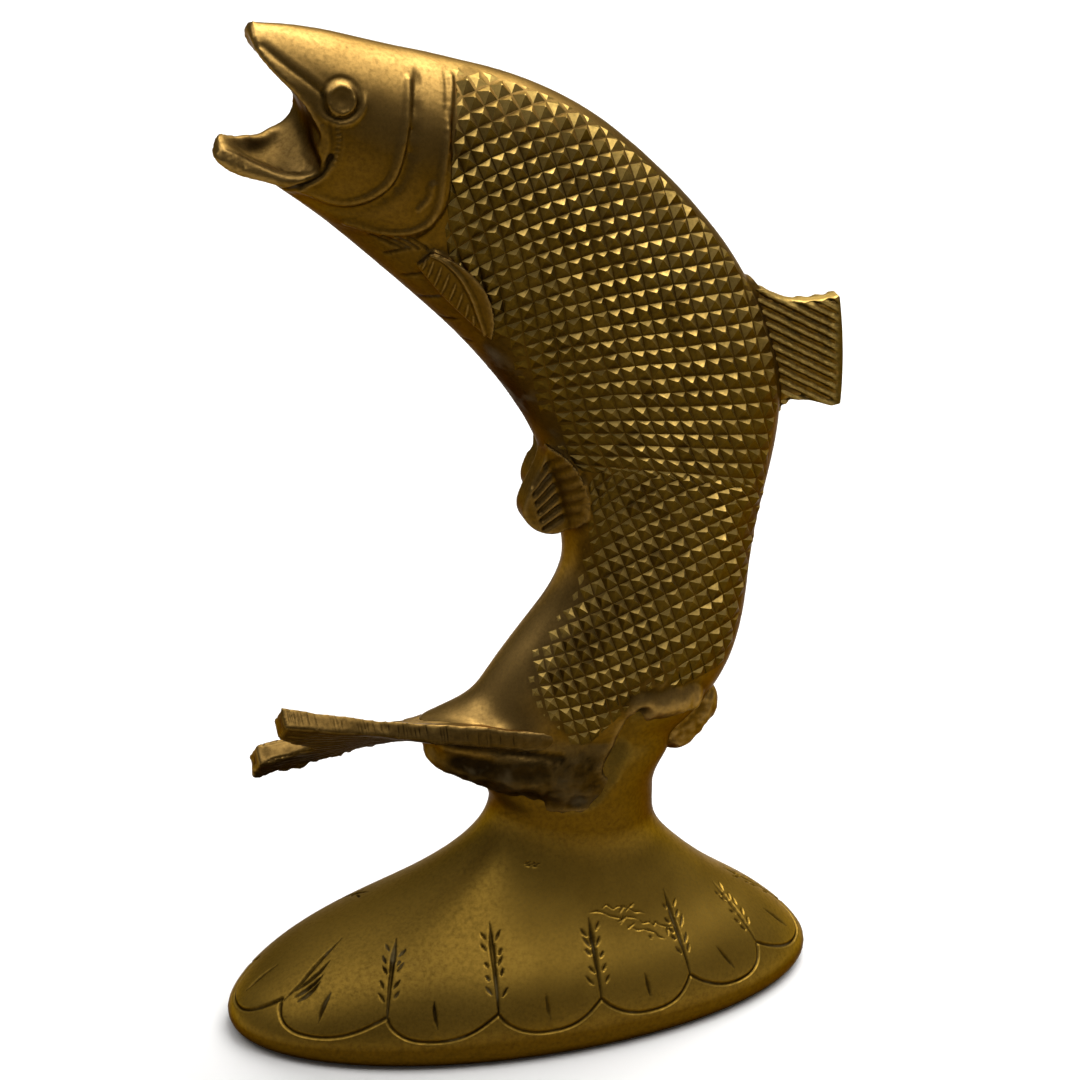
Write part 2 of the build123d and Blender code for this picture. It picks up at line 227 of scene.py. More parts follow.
# Filed metal: the yellowest, with broad calm patches of painted light on what looks up and clean dark strokes.
filed = brass("brass_filed_pedestal", "#C29A40", "#563C09", "#1D1305", "#6F5F38", 0.38, 0.08, 0.95)
# Chased metal: small facets that look up get a painted pale-gold highlight between nearly black cuts.
chased = brass("brass_chased_scales", "#D6B262", "#4C380D", "#191105", "#7A6A42", 0.38, 0.0, 0.6)
print("materials:", [m.name for m in (satin, filed, chased)])

# %% [markdown]
# ## From CAD solid to cast skin
# A casting has no knife edges: metal shrinks, files round the corners and hands wear the rest. The CAD node's mesh
# is copied, its loose triangles merged, and a voxel remesh turns it into an even net of small squares. A few rounds
# of relaxing round the corners, and then every point can be raised or sunk to model ridges, grooves and pits.
# The net is made finer only where fine lines run, to keep the mesh light.

# %% Points of a mesh
def listed(items, name, width=3, kind=np.float32):
    """One property of all points, edges or faces of a mesh, as the rows of an array."""
    flat = np.empty(len(items) * width, kind)
    items.foreach_get(name, flat)
    return flat.reshape(-1, width)


def points_of(mesh):
    """The mesh's points in millimetres."""
    return listed(mesh.vertices, "co").astype(float) / MM


def set_points(mesh, points):
    """Writes points in millimetres back to the mesh."""
    mesh.vertices.foreach_set("co", (points * MM).astype(np.float32).ravel())
    mesh.update()


def normals_of(mesh):
    """The directions in which the mesh's points face."""
    return listed(mesh.vertices, "normal").astype(float)


# %% Rounding
PULL = 0.5  # share of the way to its neighbours' middle that a point moves in one round


def relaxed(mesh, points, rounds):
    """The points after each has moved towards the middle of its neighbours, some rounds over."""
    ends = listed(mesh.edges, "vertices", 2, np.int32)
    a, b = ends[:, 0], ends[:, 1]
    count = np.bincount(ends.ravel(), minlength=len(points))
    for _ in range(rounds):
        total = np.stack([np.bincount(a, points[b, k], len(points)) + np.bincount(b, points[a, k], len(points))
                          for k in range(3)], axis=1)
        points = points + PULL * (total / count[:, None] - points)
    return points


def eased(mesh, points, weight, rounds):
    """The points relaxed only where the weight says so."""
    for _ in range(rounds):
        points = points + weight[:, None] * (relaxed(mesh, points, 1) - points)
    return points


# %% Copying and cutting
TOUCH = 0.001 * MM


def gathered(*meshes):
    """Several meshes in one editable mesh."""
    whole = bmesh.new()
    for mesh in meshes:
        whole.from_mesh(mesh)
    return whole


def welded(*meshes):
    """Several meshes in one editable mesh, with the points that touch merged."""
    whole = gathered(*meshes)
    bmesh.ops.remove_doubles(whole, verts=whole.verts, dist=TOUCH)
    return whole


def kept(whole, mesh=None):
    """Writes an editable mesh to the given mesh, or to a new one."""
    mesh = bpy.data.meshes.new("draft") if mesh is None else mesh
    whole.to_mesh(mesh)
    whole.free()
    return mesh


def cut_away(whole, place_mm, way):
    """Takes away what lies beyond a plane, on the side its direction points to, and closes the cut."""
    bmesh.ops.bisect_plane(whole, geom=[*whole.verts, *whole.edges, *whole.faces],
                           plane_co=[c * MM for c in place_mm], plane_no=way, clear_outer=True)
    bmesh.ops.holes_fill(whole, edges=[edge for edge in whole.edges if edge.is_boundary])


# %% Even copies and finer nets
def evaluated(thing):
    """The mesh that an object's modifiers make; the object and its own mesh are taken away."""
    own = thing.data
    mesh = bpy.data.meshes.new_from_object(thing.evaluated_get(bpy.context.evaluated_depsgraph_get()))
    bpy.data.objects.remove(thing)
    bpy.data.meshes.remove(own)
    return mesh


def even_copy(node, voxel_mm, *extra):
    """One closed, evenly meshed copy of a CAD node and of any extra meshes that overlap it."""
    draft = put("draft", kept(welded(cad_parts[node].data, *extra)))
    remesh = draft.modifiers.new("even", "REMESH")
    remesh.mode = "VOXEL"
    remesh.voxel_size = voxel_mm * MM
    return evaluated(draft)


def cast_skin(node, voxel_mm, rounds, *extra):
    """An even copy with its corners rounded, and its points."""
    skin = even_copy(node, voxel_mm, *extra)
    points = relaxed(skin, points_of(skin), rounds)
    set_points(skin, points)
    return skin, points


def refine(mesh, wanted):
    """Splits the faces whose middles the function picks."""
    picked = np.nonzero(wanted(listed(mesh.polygons, "center").astype(float) / MM))[0]
    fine = gathered(mesh)
    fine.faces.ensure_lookup_table()
    edges = dict.fromkeys(edge for k in picked for edge in fine.faces[k].edges)
    bmesh.ops.subdivide_edges(fine, edges=list(edges), cuts=1, use_grid_fill=True)
    kept(fine, mesh).update()


# %% Wear, and settling a piece
WEAR_ROUNDS = 8


def store(mesh, name, values):
    """Keeps one number for each point of the mesh, for the material to read."""
    layer = mesh.attributes.get(name) or mesh.attributes.new(name, "FLOAT", "POINT")
    layer.data.foreach_set("value", np.clip(values, 0, 1).astype(np.float32))


def wear(mesh, soil_and_shade=0.0, reach_mm=0.12, rub_and_highlight=0.0):
    """Finds hollows and ridges by how far each point lies under or over its relaxed place, and stores both."""
    points = points_of(mesh)
    lift = ((points - relaxed(mesh, points, WEAR_ROUNDS)) * normals_of(mesh)).sum(axis=1) / reach_mm
    # Some callers put painted shade into the soil, and a painted highlight into the rub.
    store(mesh, "recess", np.clip(-lift, 0, 1) + soil_and_shade)
    store(mesh, "edge", np.clip(lift, 0, 1) + rub_and_highlight)


def settle(name, mesh, material, nodes):
    """Makes a finished mesh a piece of the object that stands for its CAD nodes."""
    mesh.name = name
    mesh.materials.clear()
    mesh.materials.append(material)
    mesh.shade_smooth()
    piece = put(name, mesh)
    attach(piece, "root")
    if nodes:
        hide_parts(*nodes)
    print(name, len(mesh.polygons), "faces")
    return piece


# %% Line tools of the side view
def smooth_line(knots, steps=6):
    """A smooth line through given knots, by Catmull and Rom's rule."""
    knots = np.array(knots, float)
    ends = np.vstack([2 * knots[0] - knots[1], knots, 2 * knots[-1] - knots[-2]])
    line = []
    for a, b, c, d in zip(ends[:-3], ends[1:-2], ends[2:-1], ends[3:]):
        for t in np.arange(steps) / steps:
            line.append(0.5 * (2 * b + (c - a) * t + (2 * a - 5 * b + 4 * c - d) * t ** 2
                               + (3 * b - a - 3 * c + d) * t ** 3))
    return np.array(line + [knots[-1]])


def line_distance(flat, line):
    """Distance of each flat point from a line."""
    best = np.full(len(flat), 1e9)
    for a, b in zip(line[:-1], line[1:]):
        run = b - a
        t = np.clip(((flat - a) @ run) / (run @ run), 0, 1)
        best = np.minimum(best, np.linalg.norm(flat - a - t[:, None] * run, axis=1))
    return best


def spot_distance(points, spot):
    """Distance of each point from one spot."""
    return np.linalg.norm(points - spot, axis=1)


def inside(flat, ring):
    """Which flat points lie inside a ring."""
    odd = np.zeros(len(flat), bool)
    for a, b in zip(ring, np.roll(ring, -1, axis=0)):
        spans = (a[1] > flat[:, 1]) != (b[1] > flat[:, 1])
        rise = b[1] - a[1] if b[1] != a[1] else 1e-9
        odd ^= spans & (flat[:, 0] < a[0] + (flat[:, 1] - a[1]) * (b[0] - a[0]) / rise)
    return odd


def swell(distance, width):
    """A smooth hump: 1 on the line, 0 at the given width and beyond."""
    return np.clip(1 - (distance / width) ** 2, 0, None) ** 2


def ramp(values, start, end):
    """A smooth step from 0 at start to 1 at end."""
    t = np.clip((values - start) / (end - start), 0, 1)
    return t * t * (3 - 2 * t)


def cast_grain(points, size_mm):
    """Smooth noise at each point, with lumps of the given size."""
    return np.array([noise.fractal(Vector(p) / size_mm, 1.0, 2.0, 3) for p in points])


# %% [markdown]
# ## Geometry Nodes tools
# Three small trees do the work that repeats or follows a line. One lays a round bead along edges. One chases lines:
# it measures each point's distance to the nearest line and cuts or raises the skin there, as a chaser's punch does,
# by a share of the line's own half width. The third, further on, raises the scales.

# %% Start, end and run a node tree
def new_tree(name, result, **inputs):
    """A Geometry Nodes tree, add for it, and its input sockets; an input is a kind of socket and a first value."""
    tree = bpy.data.node_groups.new(name, "GeometryNodeTree")
    for title, (kind, value) in inputs.items():
        socket = tree.interface.new_socket(title, in_out="INPUT", socket_type="NodeSocket" + kind)
        if value is not None:
            socket.default_value = value
    tree.interface.new_socket(result, in_out="OUTPUT", socket_type="NodeSocketGeometry")
    return tree, functools.partial(add, tree), add(tree, "NodeGroupInput").outputs


def end_tree(tree, shape, finish):
    """Makes a tree's shape real, gives it a finish and hands it out."""
    real = add(tree, "GeometryNodeRealizeInstances", {0: shape})
    finished = add(tree, "GeometryNodeSetMaterial", {0: real, "Material": finish})
    add(tree, "NodeGroupOutput", {0: finished})
    print(tree.name, "has", len(tree.nodes), "nodes")


def grown(mesh, tree, **values):
    """Runs a node tree on a mesh and gives the result as a plain mesh."""
    host = put("host", mesh)
    run = host.modifiers.new("grow", "NODES")
    run.node_group = tree
    names = {item.name: item.identifier for item in tree.interface.items_tree if item.item_type == "SOCKET"}
    for name, value in values.items():
        run[names[name]] = value
    return evaluated(host)


# %% Bead along edges
bead_tree, step, given = new_tree(
    "bead_on_edges", "Bead", Edges=("Geometry", None), Radius=("Float", 0.8 * MM), Finish=("Material", None))
path = step("GeometryNodeMeshToCurve", {0: given["Edges"]})
ring_shape = step("GeometryNodeCurvePrimitiveCircle", {"Resolution": 10, "Radius": given["Radius"]})
tube = step("GeometryNodeCurveToMesh", {0: path, 1: ring_shape, "Fill Caps": True})
end_tree(bead_tree, tube, given["Finish"])

# %% Chased lines
chase_tree, step, given = new_tree(
    "chase_lines", "Chased", Skin=("Geometry", None), Lines=("Object", None), Rise=("Float", -0.7),
    Soil=("Float", 0.8), Finish=("Material", None))
lines = step("GeometryNodeObjectInfo", {"Object": given["Lines"]}).outputs["Geometry"]
gap = step("GeometryNodeProximity", {0: lines}, target_element="EDGES").outputs["Distance"]
nearest = step("GeometryNodeSampleNearest", {0: lines})
half, old_soil, stroke = (step("GeometryNodeInputNamedAttribute", {"Name": name})
                          for name in ("half_width", "recess", "stroke"))
half = step("GeometryNodeSampleIndex", {0: lines, 1: half, "Index": nearest})
reach = step("ShaderNodeMath", {0: gap, 1: half}, operation="DIVIDE")
profile = step("ShaderNodeMapRange", {"Value": reach, "To Min": 1.0, "To Max": 0.0},
              interpolation_type="SMOOTHSTEP")
depth = step("ShaderNodeMath", {0: profile, 1: half}, operation="MULTIPLY")
new_soil = step("ShaderNodeMath", {0: profile, 1: given["Soil"], 2: old_soil}, operation="MULTIPLY_ADD")
marked = given["Skin"]
for name, value in (("stroke", depth), ("recess", new_soil)):
    marked = step("GeometryNodeStoreNamedAttribute", {0: marked, "Name": name, "Value": value})
height = step("ShaderNodeMath", {0: stroke, 1: given["Rise"]}, operation="MULTIPLY")
facing = step("GeometryNodeInputNormal")
push = step("ShaderNodeVectorMath", {0: facing, "Scale": height}, operation="SCALE")
moved = step("GeometryNodeSetPosition", {0: marked, "Offset": push})
end_tree(chase_tree, moved, given["Finish"])

# %% Strokes for the chasing tree
STROKE_STEP = 0.35
STROKE_LEAST = 0.02


def spread(points):
    """The same line with points at even steps."""
    points = np.array([tuple(p) for p in points], float)
    run = np.concatenate([[0], np.cumsum(np.linalg.norm(np.diff(points, axis=0), axis=1))])
    at = np.linspace(0, run[-1], max(2, int(run[-1] / STROKE_STEP) + 1))
    return np.stack([np.interp(at, run, points[:, k]) for k in range(3)], axis=1)


def line_object(strokes):
    """One object of bare edges; each stroke is its points, its half width and the shares of it from end to end."""
    places, edges, widths = [], [], []
    for points, half_mm, shares in strokes:
        line = spread(points)
        first = len(places)
        places.extend(tuple(p * MM) for p in line)
        edges.extend((k, k + 1) for k in range(first, first + len(line) - 1))
        ends = np.linspace(0, 1, len(shares))
        widths.extend(np.interp(np.linspace(0, 1, len(line)), ends, shares) * half_mm * MM)
    mesh = bpy.data.meshes.new("strokes")
    mesh.from_pydata(places, edges, [])
    layer = mesh.attributes.new("half_width", "FLOAT", "POINT")
    layer.data.foreach_set("value", np.maximum(widths, STROKE_LEAST * MM).astype(np.float32))
    return put("strokes", mesh)


def chase(mesh, strokes, rise, soil_and_shade, finish, rounds=1, reach_mm=1.0):
    """Cuts (rise below 0) or raises strokes on a skin, after making its net finer beside them."""
    holder = line_object(strokes)
    near = KDTree(len(holder.data.vertices))
    for k, vertex in enumerate(holder.data.vertices):
        near.insert(vertex.co / MM, k)
    near.balance()
    for _ in range(rounds):
        refine(mesh, lambda middles: np.array([near.find(m)[2] < reach_mm for m in middles]))
    if "recess" not in mesh.attributes:
        store(mesh, "recess", np.zeros(len(mesh.vertices)))
    result = grown(mesh, chase_tree, Lines=holder, Rise=rise, Soil=soil_and_shade, Finish=finish)
    bpy.data.objects.remove(holder)
    return result


# %% [markdown]
# ## Fish body
# The head is the smooth part: a lip with a groove behind it, a round eye in a half ring, a cheek plate with a
# double ridge and the rim of the gill cover. The lines are drawn in the side view, in millimetres, and act on both
# flanks. Under the bend the metal was left as it came out of the sand, so the foot is lumpy, with a crease and a
# hollow along the root of the tail, a cleft, and the stub of a fin behind.

# %% Lines of the head and the foot, x and z in millimetres
lip_groove = smooth_line([(-51.0, 200.2), (-46.8, 196.5), (-43.9, 194.1), (-41.7, 191.8), (-41.0, 188.4),
                          (-40.6, 185.7), (-40.6, 182.0), (-41.6, 179.1)])
jaw_crease = smooth_line([(-40.6, 180.6), (-42.3, 177.3), (-44.6, 175.0), (-47.6, 172.8)])
bead_line = smooth_line([(-39.6, 188.2), (-39.3, 185.4), (-39.4, 182.6), (-40.0, 179.8)], 3)
cheek_groove = smooth_line([(-24.3, 192.4), (-26.1, 184.1), (-29.6, 174.0), (-37.4, 169.6), (-45.9, 172.2)], 10)
cheek_ridge = smooth_line([(-25.5, 192.0), (-27.4, 184.0), (-30.7, 175.0), (-37.8, 171.0), (-45.2, 173.4)], 10)
gill_rim = smooth_line([(-17.2, 191.0), (-20.4, 179.8), (-22.2, 169.4), (-25.6, 165.6), (-30.9, 164.9), (-37.0, 166.4)])
gill_mark = smooth_line([(-22.9, 174.2), (-23.7, 171.6), (-25.4, 169.6)])
foot_cleft = smooth_line([(11.8, 51.0), (14.3, 54.7), (16.1, 59.0), (17.6, 62.4)])
fin_stub = smooth_line([(17.8, 63.0), (22.5, 62.6), (28.6, 61.8)])
tail_crease = smooth_line([(-21.0, 58.7), (-14.2, 58.0), (-6.0, 56.6), (1.5, 54.8)])
foot_hollow = smooth_line([(-17.0, 54.6), (-10.0, 53.4), (-3.0, 53.2)])
over_root = smooth_line([(2.0, 90.0), (0.0, 81.0), (-4.0, 74.0), (-13.0, 66.0)])
EYE = np.array((-38.46, 190.9))
GILL_PIT = np.array((-23.6, 192.2))
MOUTH = np.array((-49.9, 0.0, 184.9))
MOUTH_CORNER = np.array((-42.0, 181.0))
JAW_TIP = np.array((-58.0, 0.5, 181.0))
JAW_UNDER = np.array((-56.5, -0.5, 177.8))
FAR_RIM = np.array((-53.0, 5.0, 180.5))
throat_hatch = [np.array([(-33.0 + 2.0 * k, 164.0), (-27.8 + 1.5 * k, 161.2)]) for k in range(4)]
chest_hatch = [np.array([(-29.8 + 3.6 * k, 159.6 - 5.2 * k), (-27.0 + 3.4 * k, 161.0 - 5.4 * k)]) for k in range(5)]
head_lines = [lip_groove, jaw_crease, bead_line, cheek_groove, cheek_ridge, gill_rim, gill_mark, *throat_hatch]
EYE_REACH, LINE_REACH, HEAD_END = 5.2, 2.0, -12.0
print("lines of the head:", len(head_lines))


def near_head_lines(points):
    """Faces that need a finer net: those by the lines of the head, and round the eye."""
    flat = points[:, [0, 2]]
    near = spot_distance(flat, EYE) < EYE_REACH
    for line in head_lines:
        near |= line_distance(flat, line) < LINE_REACH
    return near & (points[:, 0] < HEAD_END)


# %% Lip bead along the sharp rim of the mouth
LIP_RADIUS, JAW_RADIUS, JAW_TOP = 0.75, 1.5, 180.5
SHARP = math.radians(45)
solid = welded(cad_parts["fish_body"].data)
solid.normal_update()
rim = []
for edge in solid.edges:
    middle = (edge.verts[0].co + edge.verts[1].co) / 2 / MM
    by_eye = (Vector((middle.x, middle.z)) - Vector(EYE)).length < 4
    in_front = middle.x < -37.5 and middle.z > 172 and not by_eye
    if in_front and edge.is_convex and edge.calc_face_angle(0.0) > SHARP:
        rim.append(edge)


def lip(edges, radius_mm):
    """A round bead that lies just inside sharp edges."""
    corners = sorted({vertex for edge in edges for vertex in edge.verts}, key=lambda vertex: vertex.index)
    order = {vertex: k for k, vertex in enumerate(corners)}
    mesh = bpy.data.meshes.new("mouth_rim")
    mesh.from_pydata([tuple(v.co - v.normal * 0.8 * radius_mm * MM) for v in corners],
                     [[order[v] for v in edge.verts] for edge in edges], [])
    return grown(mesh, bead_tree, Radius=radius_mm * MM, Finish=satin)


lower = [edge for edge in rim if max(v.co.z for v in edge.verts) < JAW_TOP * MM]
lip_bead = lip(rim, LIP_RADIUS)
jaw_bead = lip(lower, JAW_RADIUS)
solid.free()
print("mouth rim:", len(rim), "edges, of them", len(lower), "on the jaw")

# %% Fin roots that fill their slots in the body
TAIL_SLOT_END = -22.0


def fin_root(node, shrink_mm=0.4, right_of=None):
    """A slightly shrunk copy of a fin's solid, or of the part of it right of an x in millimetres."""
    root = welded(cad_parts[node].data)
    if right_of is not None:
        cut_away(root, (right_of, 0, 0), (-1, 0, 0))
    root.normal_update()
    for vertex, way in [(v, v.normal.copy()) for v in root.verts]:
        vertex.co -= way * shrink_mm * MM
    return kept(root)


fin_roots = [fin_root(node) for node in ("dorsal_fin", "adipose_fin", "pectoral_fin_left", "pectoral_fin_right",
                                         "pelvic_fin_left", "pelvic_fin_right")]
fin_roots.append(fin_root("tail_fin", 0.25, TAIL_SLOT_END))
print("fin roots:", len(fin_roots))

# %% Body skin, softened at the mouth, the cheek and the root of the tail
BODY_VOXEL = 0.67
body_mesh = even_copy("fish_body", BODY_VOXEL, lip_bead, jaw_bead, *fin_roots)
refine(body_mesh, near_head_lines)
points = relaxed(body_mesh, points_of(body_mesh), 3)
points = eased(body_mesh, points, 0.6 * swell(spot_distance(points, MOUTH), 11.0), 14)
points = eased(body_mesh, points, 0.8 * swell(spot_distance(points, JAW_TIP), 4.5), 25)
points[:, 2] += 0.5 * swell(spot_distance(points, FAR_RIM), 6.5)
points = eased(body_mesh, points, 0.8 * swell(spot_distance(points[:, [0, 2]], MOUTH_CORNER), 5.0), 70)
on_cheek = (points[:, 0] < -20) & (np.abs(points[:, 1]) > 3)
points = eased(body_mesh, points, 0.9 * on_cheek * swell(line_distance(points[:, [0, 2]], cheek_groove), 2.6), 70)
over_tail = ramp(points[:, 0], 8, 2) * ramp(points[:, 2], 54, 56.5) * ramp(points[:, 2], 68, 62)
points = eased(body_mesh, points, 0.8 * over_tail, 40)
set_points(body_mesh, points)
flat = points[:, [0, 2]]
x, z, off_middle = points[:, 0], points[:, 2], np.abs(points[:, 1])
outward = normals_of(body_mesh)
lift, soil_and_shade = np.zeros((2, len(points)))
print("body skin:", len(points), "points")


def mark(where, distance, rise, width, dirt=0.0, dirt_width=1.0):
    """Raises the skin (sinks it below 0) within a width of a line, and soils it within another; all but dirt in mm."""
    lift[:] += where * rise * swell(distance, width)
    soil_and_shade[:] += where * dirt * swell(distance, dirt_width)


# %% Lines of the head
head = ramp(x, -12.0, -14.0) * ramp(off_middle, 1.0, 2.5)
mark(ramp(outward[:, 2], 0.1, -0.4), spot_distance(points, JAW_UNDER), 1.2, 9.0)
to_groove = line_distance(flat, lip_groove)
mark(head, to_groove - 1.4, 0.06, 1.0)
mark(head, to_groove, -0.18, 0.7, 0.25, 0.6)
mark(head, line_distance(flat, jaw_crease), -0.6, 0.8, 0.9, 0.9)
for bead in bead_line:
    to_bead = spot_distance(flat, bead)
    mark(head, to_bead, 0.1, 0.5, 0.2, 1.0)
    mark(head, to_bead - 0.6, -0.08, 0.3)
for line, rise, width in ((cheek_ridge, 0.5, 1.3), (cheek_groove, -0.1, 1.4), (gill_rim, 0.45, 1.1),
                          (gill_mark, 0.35, 1.0)):
    mark(head, line_distance(flat, line), rise, width)
mark(head, np.linalg.norm((flat - GILL_PIT) / (1.0, 1.9), axis=1), -0.3, 1.0, 0.45, 1.1)
for line in throat_hatch + chest_hatch:
    mark(head, line_distance(flat, line), -0.28, 0.5, 0.5, 0.6)
print("head relief from", round(lift.min(), 2), "to", round(lift.max(), 2), "mm")

# %% Eye and mouth
EYE_RING, EYE_GROOVE, HALF_RING = 2.3, 3.4, 4.3
from_eye = spot_distance(flat, EYE)
turn = np.degrees(np.arctan2(z - EYE[1], x - EYE[0]))
mark(head * ramp(turn, -178, -110) * ramp(turn, 15, -25), from_eye - HALF_RING, 0.4, 0.9)
mark(head, from_eye - EYE_RING, 0.25, 0.7)
mark(head, from_eye, -0.2, 1.6, 0.25, 1.8)
mark(head, from_eye - EYE_GROOVE, -0.15, 0.6, 0.4, 0.7)
to_mouth = MOUTH - points
depth = np.linalg.norm(to_mouth, axis=1)
looks_in = ((to_mouth / depth[:, None]) * outward).sum(axis=1)
# Painted shade inside the mouth: the faces that look into it are darkened with the soil.
soil_and_shade += 0.6 * swell(depth, 16.0) * ramp(looks_in, 0.1, 0.5)
print("soiled points of the head:", int((soil_and_shade > 0.2).sum()))

# %% Lumpy foot
HEEL = (23, 65)
SEAT = 43.6
rough = ramp(z, 57.5, 53.5) * ramp(z, 42.8, 44.5) * ramp(x, -26, -14)
rough = np.maximum(rough, 0.9 * swell(spot_distance(flat, HEEL), 11.0))
picked = np.nonzero(rough > 0)[0]
lump = np.zeros(len(points))
lump[picked] = cast_grain(points[picked], 9.0) + 0.6 * cast_grain(points[picked], 3.0)
lift += rough * 0.8 * lump + 0.5 * swell(z - SEAT, 1.6) * ramp(x, 9, 5)
on_side = ramp(off_middle, 3, 6)
mark(on_side, line_distance(flat, tail_crease), -0.5, 1.3, 0.9, 1.3)
mark(on_side, line_distance(flat, foot_hollow), -0.3, 2.6, 0.9, 2.6)
mark(on_side * (2.0 + 0.5 * cast_grain(points, 4.0)), line_distance(flat, fin_stub), 1.0, 4.0)
to_cleft = line_distance(flat, foot_cleft)
mark(ramp(off_middle, 4, 7), to_cleft, -2.0, 2.2)
# Painted shade in the cleft, and the rough foot made darker, both with the soil.
soil_and_shade += 0.9 * swell(to_cleft, 2.0) + 0.75 * rough * ramp(x, 18, 6)
lift += 0.10 * cast_grain(points, 14.0)
set_points(body_mesh, points + outward * lift[:, None])
print("body relief: deepest", round(lift.min(), 2), "mm, highest", round(lift.max(), 2), "mm")

# %% [markdown]
# ## Chased scales
# The scales are a net of crossing chisel cuts that leaves rows of small pyramids. The cuts follow guide points: rows
# run across, and bend down as the body bends. Most of the guides were not picked by eye. A scratch program worked
# them out from the step of the pattern in many places of the photograph. A cubic surface through the guides gives
# every crossing, and crossings beyond the patch's outline are brought back to it. Each is then dropped on to the
# flank, which makes a curved lattice, and Geometry Nodes raise every square of it into a pyramid. A lattice keeps
# each pyramid's edges on the cuts, where a displaced skin would blur them.

# %% Scale guides and patch outlines, x and z in millimetres
upper_guides = {  # row, column, x and z of some crossings
    "points": [(1, 0, -16.0, 189.8), (5, -3, -21.5, 178.7), (5, 0, -12.6, 179.7), (5, 3, -4.2, 181.2),
               (5, 6, 4.5, 182.8), (9, -3, -17.0, 166.5), (9, 0, -9.1, 169.2), (9, 3, -1.1, 170.9), (9, 6, 6.8, 171.8),
               (9, 9, 15.2, 172.1), (13, -6, -19.8, 148.0), (13, -3, -13.7, 154.3), (13, 0, -6.2, 158.2),
               (13, 6, 9.6, 160.9), (13, 12, 26.8, 159.2), (17, -3, -11.0, 142.0), (17, 0, -4.0, 146.7),
               (17, 6, 12.0, 150.0), (17, 12, 28.7, 148.0), (17, 15, 39.4, 145.3), (20, 0, -2.2, 138.2),
               (20, 6, 13.4, 141.4), (20, 12, 30.2, 139.6), (23, 0, -0.3, 130.3), (23, 6, 15.2, 132.7),
               (23, 12, 32.0, 130.5), (23, 15, 41.7, 129.0), (26, 0, 2.0, 123.3), (26, 6, 17.8, 124.0),
               (26, 12, 35.3, 120.5), (26, 15, 45.4, 118.4), (29, 2, 9.5, 116.6), (29, 6, 21.8, 114.6),
               (29, 12, 39.0, 110.0)],
    "ring": [(-12.3, 191.8), (-16.4, 192.1), (-16.6, 188.5), (-17.4, 186.2), (-19.0, 178.1), (-20.0, 170.8),
             (-20.6, 165.4), (-19.4, 158.3), (-15.6, 152.3), (-12.2, 142.7), (-12.5, 137.0), (-8.5, 129.0),
             (-3.5, 121.5), (0.5, 118.0), (4.0, 115.0), (7.0, 112.0), (12.8, 112.6), (26.2, 109.5), (44.0, 100.6),
             (43.3, 109.0), (44.6, 116.4), (46.2, 119.7), (45.5, 125.0), (45.0, 131.0), (43.2, 139.0), (38.0, 148.2),
             (30.7, 158.0), (23.0, 167.2), (15.3, 174.9), (7.8, 181.0), (0.3, 185.6), (-7.1, 189.0)],
}
lower_guides = {
    "points": [(-8, 6, 8.6, 103.4), (-8, 9, 13.1, 108.0), (-8, 12, 18.4, 111.4), (-8, 15, 24.3, 114.0),
               (-8, 18, 31.0, 115.3), (-4, 3, 7.0, 89.0), (-4, 6, 11.6, 94.1), (-4, 9, 17.2, 98.2),
               (-4, 12, 23.5, 101.4), (-4, 15, 30.4, 103.6), (-4, 18, 38.2, 104.0), (0, -2, -0.7, 76.0),
               (0, 3, 8.6, 80.6), (0, 6, 15.0, 84.0), (0, 9, 21.8, 87.0), (0, 12, 29.0, 89.8), (0, 15, 37.0, 91.0),
               (4, -2, 1.0, 67.0), (4, 3, 11.8, 69.7), (4, 6, 19.0, 72.0), (4, 9, 26.2, 74.7), (4, 12, 34.0, 77.0),
               (7, -2, 3.0, 59.4), (7, 3, 14.5, 60.8), (7, 6, 21.6, 62.8), (7, 9, 29.0, 65.0)],
    "ring": [(7.6, 113.2), (12.8, 114.2), (26.2, 111.4), (44.0, 102.5), (42.0, 91.0), (40.6, 83.4), (39.6, 77.9),
             (38.2, 71.3), (35.6, 67.0), (29.0, 66.4), (21.5, 64.5), (13.8, 62.0), (7.5, 56.5), (4.5, 56.1),
             (-0.9, 62.2), (-4.5, 68.1), (-3.4, 73.2), (-1.7, 76.4), (1.8, 81.3), (4.9, 86.0), (6.4, 91.5),
             (6.8, 96.5), (8.6, 99.7), (8.2, 105.2)],
}
belly_edge = upper_guides["ring"][10:14] + lower_guides["ring"][21:12:-1]  # both patches, from the chest down
print("scale guides:", len(upper_guides["points"]), "above and", len(lower_guides["points"]), "below the bend")

# %% A view that leans over the back
# The scales run up to the crest of the back, where a flat side view would stretch them. Seen from somewhat above,
# as in the photograph, the flank is open up to the crest; there a crossing is given by x and its leaned height.
LEAN = math.tan(math.radians(22))
FLANK = 12.0
FAR_OUT = 90.0


def search_tree(mesh, points):
    """A search tree over a skin with the given points, in millimetres."""
    return BVHTree.FromPolygons([Vector(p) for p in points], [tuple(face.vertices) for face in mesh.polygons])


body_tree = search_tree(body_mesh, points)  # the points before their relief, so that the scales lie evenly


def drop_on_flank(x, z, side, tree=body_tree):
    """The point of a flank at x and z; side is -1 for the left and 1 for the right."""
    return tree.ray_cast(Vector((x, side * FAR_OUT, z)), Vector((0, -side, 0)))[0]


def leaned(flat_points):
    """Points of the side view as x and leaned height."""
    result = []
    for x, z in flat_points:
        place = drop_on_flank(x, z, -1)
        result.append((x, z + (FLANK - abs(place.y if place else 0.0)) * LEAN))
    return np.array(result)


def lean_drop(x, height, side):
    """The point of a flank at x and a leaned height, its outward direction and how squarely it is seen."""
    sight = Vector((0, -side, -LEAN)).normalized()
    place, facing, _, _ = body_tree.ray_cast(Vector((x, side * FLANK, height)) - sight * 80, sight)
    return place, facing, -facing.dot(sight) if place else 0.0


